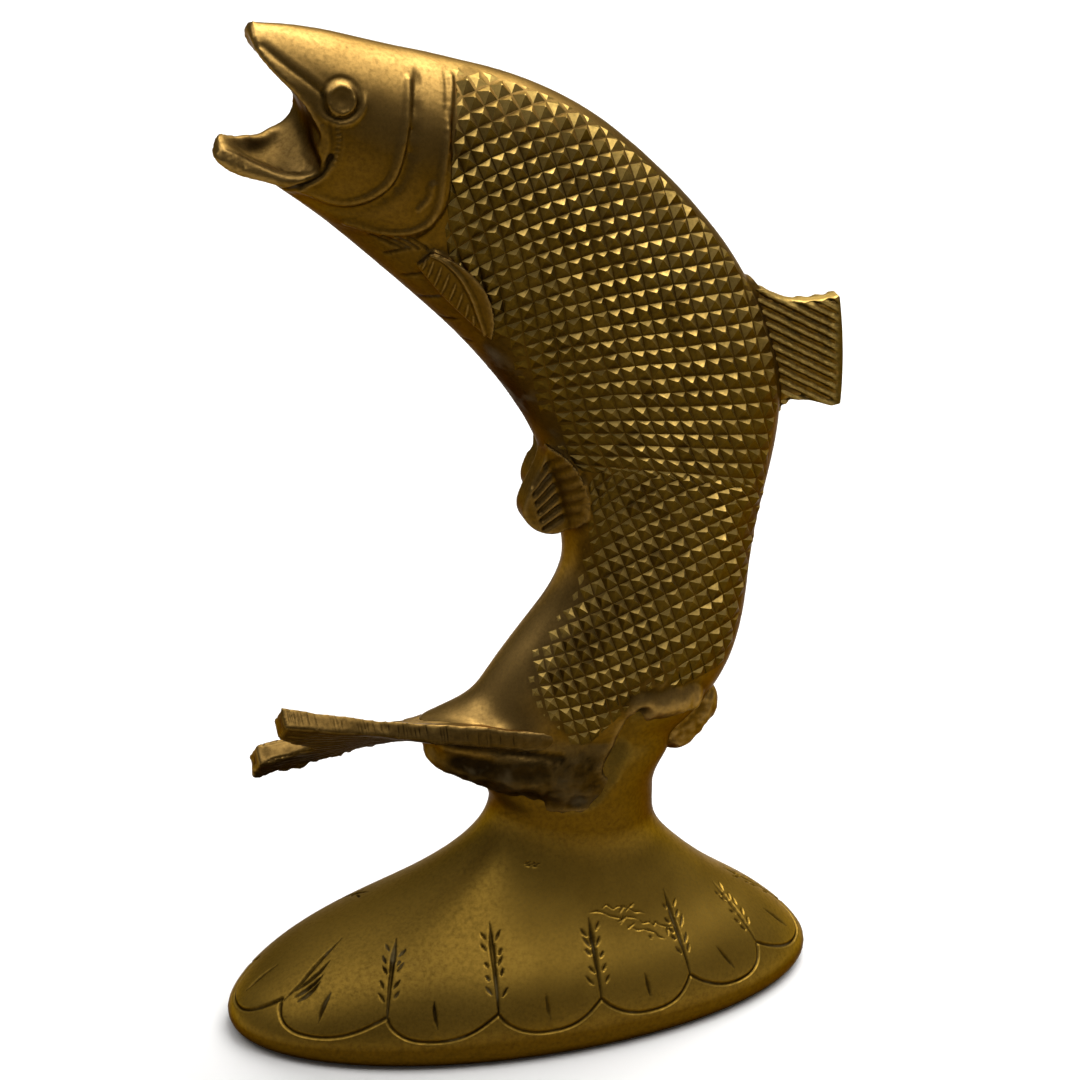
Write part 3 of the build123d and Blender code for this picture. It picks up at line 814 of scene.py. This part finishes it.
# %% Crossings of the chisel cuts
HAND_SLIP = 0.13
EXTRA_ROWS = 3
ROW_SPAN = 20  # keeps the powers near 1


def crossings(guides):
    """The crossings of every row and column: a cubic surface through the guides, with the hand's small slips."""
    row, column, x, z = np.array(guides["points"], float).T
    seen = leaned(np.stack([x, z], axis=1))
    rows = np.arange(row.min() - EXTRA_ROWS, row.max() + EXTRA_ROWS + 1)
    columns = np.arange(column.min() - EXTRA_ROWS, column.max() + EXTRA_ROWS + 2)

    def powers(r, c):
        return np.stack([(r / ROW_SPAN) ** i * (c / ROW_SPAN) ** j for i in range(4) for j in range(4 - i)], axis=-1)

    weights = np.linalg.lstsq(powers(row, column), seen, rcond=None)[0]
    grid = powers(*np.meshgrid(rows, columns, indexing="ij")) @ weights
    return grid + np.random.default_rng(7).uniform(-HAND_SLIP, HAND_SLIP, grid.shape)


# %% Sizes of the scales, the patch's outline and the slab
GROOVE_DEPTH = 0.12
BACKING = 1.1
EDGE_FADE, EDGE_SHARE = 1.8, 0.35  # width in mm in which the scales grow lower, and the share of height at its end
BELLY_FADE, BELLY_SHARE = 7.0, 0.05
SQUARE_ON_LEAST = 0.12
ROOM_LEAST, FULL_CELL = 1.2, 2.3  # the smallest square in square mm, and the side in mm of one of full height
RELIEF_LEAST = 0.03
belly_line = leaned(belly_edge)
print("belly edge:", len(belly_line), "points")


def held_in(flat, ring):
    """Flat points, with those outside a ring moved to its nearest edge."""
    ends = np.roll(ring, -1, axis=0)
    held = flat.copy()
    for k in np.nonzero(~inside(flat, ring))[0]:
        share = ((flat[k] - ring) * (ends - ring)).sum(axis=1) / ((ends - ring) ** 2).sum(axis=1)
        near = ring + np.clip(share, 0, 1)[:, None] * (ends - ring)
        held[k] = near[np.argmin(np.linalg.norm(near - flat[k], axis=1))]
    return held


def slab_faces(squares, count):
    """The faces of a closed slab: the squares, the same ones below, and a wall along their open edges."""
    open_edges = {}
    for loop in squares:
        for a, b in zip(loop, loop[1:] + loop[:1]):
            if open_edges.pop((b, a), None) is None:
                open_edges[a, b] = True
    below = [[k + count for k in loop[::-1]] for loop in squares]
    return squares + below + [[b, a, a + count, b + count] for a, b in open_edges]


# %% Lattice of one flank
def scale_lattice(guides, side):
    """A closed slab whose outer squares are the scales, with each square's relief for the nodes to read."""
    grid = crossings(guides)
    ring = leaned(guides["ring"])
    within = inside(grid.reshape(-1, 2), ring).reshape(grid.shape[:2])
    grid = held_in(grid.reshape(-1, 2), ring).reshape(grid.shape)
    tops, floors, sideways, numbers, squares, relief = [], [], [], {}, [], []
    closed = np.vstack([ring, ring[:1]])

    def corner(r, c):
        if (r, c) not in numbers:
            place, facing, square_on = lean_drop(*grid[r, c], side)
            numbers[r, c] = None
            if square_on > SQUARE_ON_LEAST:
                numbers[r, c] = len(tops)
                sideways.append(abs(facing.y))
                tops.append(place - facing * GROOVE_DEPTH)
                floors.append(place - facing * (GROOVE_DEPTH + BACKING))
        return numbers[r, c]

    for r, c in np.ndindex(grid.shape[0] - 1, grid.shape[1] - 1):
        middle = grid[r:r + 2, c:c + 2].reshape(4, 2).mean(axis=0)[None]
        one, other = grid[r + 1, c + 1] - grid[r, c], grid[r + 1, c] - grid[r, c + 1]
        room = abs(one[0] * other[1] - one[1] * other[0]) / 2
        if not within[r:r + 2, c:c + 2].any() or room < ROOM_LEAST:
            continue
        loop = [corner(r, c), corner(r + 1, c), corner(r + 1, c + 1), corner(r, c + 1)]
        if None in loop:
            continue
        to_belly = line_distance(middle, belly_line)[0]
        full = min(1.0, EDGE_SHARE + (1 - EDGE_SHARE) * line_distance(middle, closed)[0] / EDGE_FADE,
                   BELLY_SHARE + (1 - BELLY_SHARE) * to_belly / BELLY_FADE)
        turned = ramp(min(sideways[k] for k in loop), 0.05, 0.5)
        if side > 0:  # the far flank is scaled only well off the belly and where it faces sideways
            full *= ramp(to_belly, 4.0, 9.0) * ramp(turned, 0.7, 1.0)
        if full < RELIEF_LEAST:
            continue
        squares.append(loop if side < 0 else loop[::-1])
        relief.append(full * (0.1 + 0.9 * turned) * min(1.0, math.sqrt(room) / FULL_CELL))
    faces = slab_faces(squares, len(tops))
    mesh = bpy.data.meshes.new("lattice")
    mesh.from_pydata([tuple(p * MM) for p in tops + floors], [], faces)
    layer = mesh.attributes.new("relief", "FLOAT", "FACE")
    layer.data.foreach_set("value", np.array(relief + [0.0] * (len(faces) - len(relief)), np.float32))
    return mesh


# %% Geometry Nodes that raise the scales
scale_tree, step, given = new_tree(
    "raise_scales", "Scales", Lattice=("Geometry", None), Wall=("Float", 0.2 * MM), Height=("Float", 0.85 * MM),
    Land=("Float", 0.9), Tip=("Float", 0.1), Lean=("Float", 0.2 * MM), Lift=("Vector", (0, 0, 0.45 * MM)),
    Finish=("Material", None))
relief = step("GeometryNodeInputNamedAttribute", {"Name": "relief"})
is_scale = step("FunctionNodeCompare", {0: relief, 1: 0.01}, operation="GREATER_THAN")
uneven = step("FunctionNodeRandomValue", {2: 0.65, 3: 1.12, "Seed": 11}).outputs[1]
stray = step("FunctionNodeRandomValue", {0: (-1, -1, -1), 1: (1, 1, 1), "Seed": 5}, data_type="FLOAT_VECTOR")
wall_rise = step("ShaderNodeMath", {0: given["Wall"], 1: relief}, operation="MULTIPLY")
tip_rise = step("ShaderNodeMath", {0: given["Height"], 1: relief}, operation="MULTIPLY")
tip_rise = step("ShaderNodeMath", {0: tip_rise, 1: uneven}, operation="MULTIPLY")
facing = step("GeometryNodeInputNormal")
up = step("ShaderNodeVectorMath", {0: facing, "Scale": tip_rise}, operation="SCALE")
stray = step("ShaderNodeVectorMath", {0: stray, "Scale": given["Lean"]}, operation="SCALE")
shift = step("ShaderNodeVectorMath", {0: stray, 1: given["Lift"]}, operation="ADD")
shift = step("ShaderNodeVectorMath", {0: shift, "Scale": relief}, operation="SCALE")
way = step("ShaderNodeVectorMath", {0: up, 1: shift}, operation="ADD")

# Two steps raise a square: a low wall with a narrower land, then the pyramid. Soil stays at the foot of each.
shape = step("GeometryNodeStoreNamedAttribute", {0: given["Lattice"], "Name": "recess", "Value": 1.0})
picked = is_scale
for rise, share, soiled in (({"Offset Scale": wall_rise}, "Land", 0.3),
                            ({"Offset": way, "Offset Scale": 1.0}, "Tip", 0.0)):
    raised = step("GeometryNodeExtrudeMesh", {"Mesh": shape, "Selection": picked, "Individual": True, **rise}).outputs
    picked = raised["Top"]
    narrow = step("GeometryNodeScaleElements", {"Geometry": raised["Mesh"], "Selection": picked, "Scale": given[share]})
    shape = step("GeometryNodeStoreNamedAttribute", {0: narrow, "Selection": picked, "Name": "recess", "Value": soiled})
end_tree(scale_tree, shape, given["Finish"])

# %% Scales on both flanks
UPPER_LIFT, LOWER_LIFT = 0.5, 0.7  # how far the tips lean up, in mm
for name, side in (("scales_left", -1), ("scales_right", 1)):
    patches = [grown(scale_lattice(guides, side), scale_tree, Finish=chased, Lift=(0, 0, rise * MM))
               for guides, rise in ((upper_guides, UPPER_LIFT), (lower_guides, LOWER_LIFT))]
    settle(name, kept(gathered(*patches)), chased, []).data.shade_flat()

# %% Finish the body
zone = np.zeros(len(points))
lean_flat = np.stack([x, z + (FLANK - off_middle) * LEAN], axis=1)
for guides in (upper_guides, lower_guides):
    ring = leaned(guides["ring"])
    closed = np.vstack([ring, ring[:1]])
    zone = np.maximum(zone, inside(lean_flat, ring) * ramp(line_distance(lean_flat, closed), 0.0, 1.5))
# Painted highlight over the root of the tail; the snout and the fin stub are made brighter too, all through the edge
# attribute.
rub_and_highlight = 1.0 * swell(line_distance(flat, over_root), 8.0) + 0.8 * ramp(x, -45, -54)
rub_and_highlight += 0.7 * swell(line_distance(flat, fin_stub), 4.0)
# Darker along the chest and the belly edge, above the bend.
chest = np.array([(-36.0, 164.0), (-24.0, 151.0), *belly_edge])
soil_and_shade += 0.4 * swell(line_distance(flat, chest), 9.0) * ramp(z, 95, 110)
wear(body_mesh, soil_and_shade + 0.5 * zone, 0.4, rub_and_highlight)
settle("fish_body_cast", body_mesh, satin, ["fish_body"])

# %% [markdown]
# ## Fins on the flanks
# The pectoral fins lie flat on the flanks: a leaf with a raised rim and slanting rays. On the real fish they were
# chased into the casting, so the rays are lines that the chasing tree raises on the fin's own skin, drawn in the
# side view and dropped on to the fin's outer face. The pelvic fins stand out under the belly with stout rays, which
# their solids have; the skins round them, and the rear ends are pressed a little into the flank.

# %% Pectoral and pelvic fins
pectoral_rim = [(-23.4, 160.6), (-20.8, 159.2), (-17.9, 156.0), (-15.5, 151.4), (-13.9, 147.0), (-12.3, 142.6)]
pectoral_rays = [((-23.8, 159.6), (-24.3, 157.4)), ((-22.6, 159.2), (-23.2, 155.6)), ((-21.2, 158.0), (-21.9, 153.8)),
                 ((-19.8, 156.4), (-20.6, 151.8)), ((-18.5, 154.4), (-19.2, 150.0)), ((-17.2, 152.2), (-17.7, 148.2)),
                 ((-16.0, 149.8), (-16.0, 146.4)), ((-14.9, 147.2), (-14.4, 144.6))]
FULL = (0.5, 1.0, 1.0, 0.6)
RIM_HALF, RAY_HALF, RAY_RISE = 0.8, 0.42, 0.75


def dropped(line, side, tree):
    """The part of a line of the side view that falls on a skin."""
    knots = np.array(line, float)
    steps = np.concatenate([a + np.outer(np.linspace(0, 1, 8, endpoint=False), b - a)
                            for a, b in zip(knots[:-1], knots[1:])] + [knots[-1:]])
    places = [drop_on_flank(x, z, side, tree) for x, z in steps]
    return [p for p in places if p is not None]


for hand, side, lag in (("left", -1, 0.0), ("right", 1, 2.4)):
    node = "pectoral_fin_" + hand
    skin, places = cast_skin(node, 0.33, 3)
    tree = search_tree(skin, points_of(skin))
    strokes = [(dropped(smooth_line(pectoral_rim), side, tree), RIM_HALF, FULL)]
    strokes += [(dropped(ray, side, tree), RAY_HALF, FULL) for ray in pectoral_rays]
    skin = chase(skin, [s for s in strokes if len(s[0]) > 2], RAY_RISE, 0.0, satin)
    wear(skin, 0.25)
    settle(node + "_cast", skin, satin, [node])

    node = "pelvic_fin_" + hand
    skin, places = cast_skin(node, 0.3, 4)
    places[:, 1] -= side * 0.8 * ramp(places[:, 0] - lag, 4.0, 8.5)
    set_points(skin, places)
    wear(skin, 0.25, 0.15)
    settle(node + "_cast", skin, satin, [node])

# %% [markdown]
# ## Fins on the back, and the tail
# The saw cuts in the dorsal fin's solid give its rays their width; the skin draws them again with the slant that the
# photograph shows, a little uneven. The small adipose fin is a worn lump. The tail is a twisted blade: its near edge
# was filed flat and nicked, its faces carry rays that run together towards the root, and its far edge was left rough
# from the mould.

# %% Dorsal and adipose fins
RAY_PITCH, RAY_SLANT, RAY_HEIGHT = 2.0, 0.62, 0.4
FACE, FACE_LEAST = 1.45, 0.9
RIM_X, RAY_END_X = 60.0, 58.2
skin, places = cast_skin("dorsal_fin", 0.3, 3)
sunk = ramp(places[:, 2], 140.0, 144.0)
places[:, 0] -= 2.4 * sunk
places[:, 2] -= 1.2 * sunk
ray_turns = 2 * math.pi * (places[:, 2] + RAY_SLANT * places[:, 0]) / RAY_PITCH
on_face = np.abs(places[:, 1]) > FACE_LEAST
inner = ramp(places[:, 0], RIM_X, RAY_END_X)
ray_height = FACE + inner * (RAY_HEIGHT * np.cos(ray_turns) + 0.12 * cast_grain(places, 1.5))
places[:, 1] = np.where(on_face, np.sign(places[:, 1]) * ray_height, places[:, 1])
set_points(skin, places)
wear(skin, 0.1, 0.2)
settle("dorsal_fin_cast", skin, chased, ["dorsal_fin"])

skin, places = cast_skin("adipose_fin", 0.35, 10)
set_points(skin, places + normals_of(skin) * (1.0 + 0.5 * cast_grain(places, 4.0))[:, None])
wear(skin)
settle("adipose_fin_cast", skin, satin, ["adipose_fin"])

# %% Tail
TAIL_ROOT = np.array((3.4, 0.0, 55.5))
TAIL_LENGTH, TAIL_WIDTH, TAIL_THICK = 57.0, 22.0, 3.9
TAIL_RISE = ((0.0, 0.43, 0.75, 0.98), (0.0, 3.3, 4.6, 5.7))
TAIL_TURN = ((0.0, 0.43, 0.75, 0.98), (8.0, 21.4, 39.9, 50.0))


def tail_axes(along):
    """The middle of the tail's blade at a share of its length, the way across it and the way out of its top."""
    turn = np.radians(np.interp(along, *TAIL_TURN))
    middle = TAIL_ROOT + np.stack([-along * TAIL_LENGTH, 0 * along, np.interp(along, *TAIL_RISE)], axis=-1)
    return (middle, np.stack([0 * turn, -np.cos(turn), np.sin(turn)], axis=-1),
            np.stack([0 * turn, np.sin(turn), np.cos(turn)], axis=-1))


def tail_spots(places):
    """Each point's share of the tail's length and width, and the way out of the blade's top there."""
    along = (TAIL_ROOT[0] - places[:, 0]) / TAIL_LENGTH
    middle, across, top = tail_axes(along)
    return along, ((places - middle) * across).sum(axis=1) / TAIL_WIDTH, top


skin, places = cast_skin("tail_fin", 0.4, 8)
along, wide, top = tail_spots(places)
facing = normals_of(skin)
flatness = np.abs((facing * top).sum(axis=1))
lift = 0.3 * flatness * (ramp(along, 0.84, 0.96) - 1.3 * swell(along - 0.64, 0.22))
lift += 0.25 * cast_grain(places, 6.0) + 0.6 * ramp(wide, -0.30, -0.46) * cast_grain(places, 2.2)
set_points(skin, places + facing * lift[:, None])
print("tail relief from", round(lift.min(), 2), "to", round(lift.max(), 2), "mm")

# %% Rays and nicks of the tail
RAYS, NICKS = 12, 46
tail_tree = search_tree(skin, points_of(skin))
reach = np.linspace(0.98, 0.30, 14)
middle, across, top = tail_axes(reach)
lines = [(middle + across * (share * TAIL_WIDTH * (0.35 + 0.65 * reach))[:, None] + top * face * TAIL_THICK / 2,
          0.55, (0.6, 1.0, 1.0, 0.4)) for face in (-1, 1) for share in np.linspace(-0.44, 0.44, RAYS)]
for spot in np.random.default_rng(4).uniform(0.12, 0.95, NICKS):
    middle, across, top = tail_axes(np.full(3, spot))
    lines.append((middle + across * 0.5 * TAIL_WIDTH + top * np.array((-0.45, 0, 0.45))[:, None] * TAIL_THICK,
                  0.22, (0.6, 1.0, 0.6)))
strokes = [([tail_tree.find_nearest(Vector(p))[0] for p in line], half, shares) for line, half, shares in lines]
skin = chase(skin, strokes, -0.45, 0.35, satin, 1, 0.8)
along, wide, top = tail_spots(points_of(skin))
looks_top = (normals_of(skin) * top).sum(axis=1)
# Painted shade: the faces of the tail that look down are darkened with the soil, more on the far half near the tip.
under = ramp(looks_top, -0.2, -0.7)
near_edge = ramp(wide, 0.40, 0.46) * ramp(np.abs(looks_top), 0.8, 0.5)
wear(skin, 0.55 * near_edge + under * (0.45 + 0.6 * ramp(wide, 0.0, -0.2) * ramp(along, 0.7, 0.85)))
settle("tail_fin_cast", skin, satin, ["tail_fin"])

# %% [markdown]
# ## Pedestal
# The pedestal is a hollow shell with a broad oval rim, and its metal runs up the foot of the fish as a collar. A ring
# of scallops is cut round it with a curved chisel. Where two scallops meet, a stem rises with small feathered ticks
# on both sides; at the head end it is a spray of four leaves. Each scallop has one short stroke in its middle, and
# a flaw in the casting shows as a run of small cracks. The strokes are placed by their angle round the oval and
# their height, or by a place near the shell, and dropped on to it.

# %% Pedestal skin with the collar
BASE_X, NECK_X = -2.9, 7.5
HALF_LENGTH, HALF_WIDTH = 58.2, 29.0
COLLAR_CUT, COLLAR_SINK, COLLAR_SWELL = 66, 1.2, 1.9
COLLAR_TOP = ((-12, -5, 4, 9, 11, 13, 15, 17, 22, 40), (46.0, 45.5, 44.0, 44.5, 47.5, 52.0, 57.0, 61.0, 62.0, 60.0))
low_part = gathered(even_copy("fish_body", 1.0))
cut_away(low_part, (0, 0, COLLAR_CUT), (0, 0, 1))
collar = kept(low_part)
places = relaxed(collar, points_of(collar), 3)
set_points(collar, places)
room_left = np.interp(places[:, 0], *COLLAR_TOP) - places[:, 2]
growth = COLLAR_SWELL * ramp(room_left, -2.0, 1.0) - COLLAR_SINK
set_points(collar, places + normals_of(collar) * growth[:, None])
base_mesh, places = cast_skin("base_dome", 0.9, 4, collar)
base_tree = search_tree(base_mesh, points_of(base_mesh))
print("pedestal skin:", len(places), "points")


def on_base(angle, height):
    """The place on the pedestal's outside at an angle round the oval and a height; the middle shifts to the neck."""
    shift = np.interp(height, (9, 15, 21, 27, 32, 37, 43), (0, 0.12, 0.44, 0.72, 0.84, 0.94, 1))
    middle = Vector((BASE_X + shift * (NECK_X - BASE_X), 0, height))
    out = Vector((math.cos(math.radians(angle)) * HALF_LENGTH, math.sin(math.radians(angle)) * HALF_WIDTH, 0))
    return base_tree.ray_cast(middle + out * 2, -out.normalized())[0]


def on_skin(place):
    """The nearest place on the pedestal and its outward direction."""
    return base_tree.find_nearest(place)[:2]


# %% Scallops and their middle strokes
CUSP_HEIGHT, SCALLOP_DROP, SCALLOP_ROUND = 10.6, 4.4, 2.4
MIDDLE_HEIGHTS, MIDDLE_FOOT, MIDDLE_LEAN = (8.6, 10.2, 11.8, 13.2), 9.0, 0.45
SPRAY_CUSP = 161.6
SPINDLE = (0.2, 0.8, 1.0, 0.8, 0.2)
STEM = (0.45, 0.6, 0.8, 1.0, 0.15)
stems = [(0.0, 0.0, 19.0), (36.3, 25.4, 21.0), (60.7, 57.2, 24.8), (82.2, 87.0, 23.7), (103.6, 119.0, 24.1),
         (128.0, 149.0, 20.5), (SPRAY_CUSP, 170.5, 18.3)]  # angle of the cusp, angle of the top and its height
DRIFT = ((0, 36.3, 60.7, 82.2, 103.6, 128.0, SPRAY_CUSP, 180), (0, -1.05, -0.25, 0.37, 1.14, 2.1, 1.16, 0))
cusps = sorted([-a for a, _, _ in stems[1:]] + [a for a, _, _ in stems])
strokes = []
for a, b in zip(cusps, cusps[1:] + [cusps[0] + 360]):
    arc = [on_base(a + (b - a) * t, CUSP_HEIGHT - SCALLOP_DROP * (1 - abs(2 * t - 1) ** SCALLOP_ROUND))
           for t in np.linspace(0, 1, 25)]
    strokes.append((arc, 0.55, (1.0, 1.0)))
    middle = (a + b) / 2
    turn = (middle + 180) % 360 - 180
    drift = MIDDLE_LEAN * math.copysign(np.interp(abs(turn), *DRIFT), turn)
    strokes.append(([on_base(middle + drift * (h - MIDDLE_FOOT), h) for h in MIDDLE_HEIGHTS], 0.6, SPINDLE))
print("scallops:", len(cusps))

# %% Stems, feathers and the spray
spray = [((-52.8, 8.9, 10.4), (-49.3, 8.3, 13.0), (-45.5, 6.2, 15.5), (-39.3, 2.8, 18.5)),
         ((-50.6, 8.8, 12.0), (-48.0, 8.9, 13.8), (-45.5, 8.3, 15.3), (-42.8, 6.8, 16.5)),
         ((-51.0, 9.8, 11.2), (-49.0, 10.2, 12.6), (-47.0, 10.0, 13.8), (-44.9, 9.2, 14.9)),
         ((-50.6, 10.9, 10.8), (-49.0, 11.2, 12.0), (-47.4, 10.9, 13.0), (-45.8, 10.2, 14.1))]
chaser = np.random.default_rng(3)
for side in (-1, 1):
    for cusp, top, height in stems:
        if side == 1 and cusp in (0.0, SPRAY_CUSP):  # the end has one stem, and no spray is seen on the far side
            continue
        if cusp == SPRAY_CUSP:
            strokes += [([on_skin(Vector(p) * Vector((1, side, 1)))[0] for p in leaf], 0.6, SPINDLE) for leaf in spray]
            continue
        low, high = on_base(side * cusp, CUSP_HEIGHT), on_base(side * top, height)
        stem = [on_skin(low.lerp(high, t))[0] for t in np.linspace(0, 1, 15)]
        strokes.append((stem, 0.8, STEM))
        for spot in (3, 5, 7, 9, 11):
            place, outward = on_skin(stem[spot])
            along = (stem[spot + 1] - stem[spot - 1]).normalized()
            across = outward.cross(along).normalized()
            for hand in (-1, 1):
                length = chaser.uniform(1.5, 2.6)
                foot = place + across * hand * chaser.uniform(0.5, 1.2) + along * chaser.uniform(-0.9, 0.9)
                tip = foot + (along * chaser.uniform(0.7, 1.0) + across * hand * chaser.uniform(0.3, 0.6)) * length
                strokes.append(([on_skin(foot.lerp(tip, t))[0] for t in (0, 0.33, 0.67, 1)], 0.45, SPINDLE))
print("strokes with stems and feathers:", len(strokes))

# %% Cracks of the flaw, and the finished pedestal
flaw_ends = [((5.4, -18.3, 24.5), (15.3, -18.7, 21.4)), ((8.0, -18.0, 25.5), (17.0, -17.8, 22.5)),
             ((15.3, -18.7, 21.4), (22.0, -18.6, 18.6)), ((13.0, -19.4, 20.8), (19.5, -19.8, 17.6)),
             ((-5.6, -11.6, 33.2), (-2.4, -11.5, 33.0))]
for start, end in flaw_ends:
    way = Vector(end) - Vector(start)
    wander = [Vector(start) + way * t + Vector(chaser.uniform(-0.45, 0.45, 3)) for t in np.linspace(0, 1, 9)]
    strokes.append(([on_skin(place)[0] for place in wander], 0.3, (0.3, 1.0, 0.5, 1.0, 0.6, 1.0, 0.3)))
    for _ in range(2):
        place = Vector(start) + way * chaser.uniform(0, 1) + Vector(chaser.uniform(-0.8, 0.8, 3))
        run = Vector(chaser.uniform(-1.0, 1.0, 3))
        strokes.append(([on_skin(place + run * t)[0] for t in (-1, -0.3, 0.3, 1)], 0.4, (0.3, 1.0, 0.6, 0.3)))
base_mesh = chase(base_mesh, strokes, -0.7, 1.0, filed, 2, 1.0)
print("base strokes:", len(strokes), "points:", len(base_mesh.vertices))
places = points_of(base_mesh)
recess = listed(base_mesh.attributes["recess"].data, "value", 1)[:, 0]
# Painted shadow of the tail and the head over the upper left of the pedestal, added to the hollows' tarnish.
shaded = ramp(places[:, 0], -2, -30) * ramp(places[:, 2], 6, 14)
store(base_mesh, "recess", recess + 0.55 * shaded)
store(base_mesh, "edge", np.zeros(len(places)))
settle("base_dome_cast", base_mesh, filed, ["base_dome"])

# %% [markdown]
# ## Fixing
# A steel stud, washer and nut under the pedestal hold the fish to it. They can hardly be seen, and their plain CAD
# shapes are right as they are; they only need a zinc-plated finish.

# %% Zinc-plated steel
SPANGLE_MM = 1.5
FIXING = ("mounting_stud", "mounting_washer", "mounting_nut")
# Plated steel: a cool, even grey with faint crystals.
zinc, tree, shader = blank("steel_zinc_plated")
place = add(tree, "ShaderNodeTexCoord").outputs["Object"]
spangle = add(tree, "ShaderNodeTexVoronoi", {"Vector": place, "Scale": 1 / (SPANGLE_MM * MM)}).outputs["Color"]
tone = add(tree, "ShaderNodeMix", {0: spangle, 6: linear("#8F9296"), 7: linear("#B9BCBF")}, data_type="RGBA").outputs[2]
shader.inputs["Metallic"].default_value = 1.0
shader.inputs["Roughness"].default_value = 0.42
tree.links.new(tone, shader.inputs["Base Color"])
for name in FIXING:
    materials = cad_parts[name].data.materials
    materials.clear()
    materials.append(zinc)
print("plated:", FIXING)
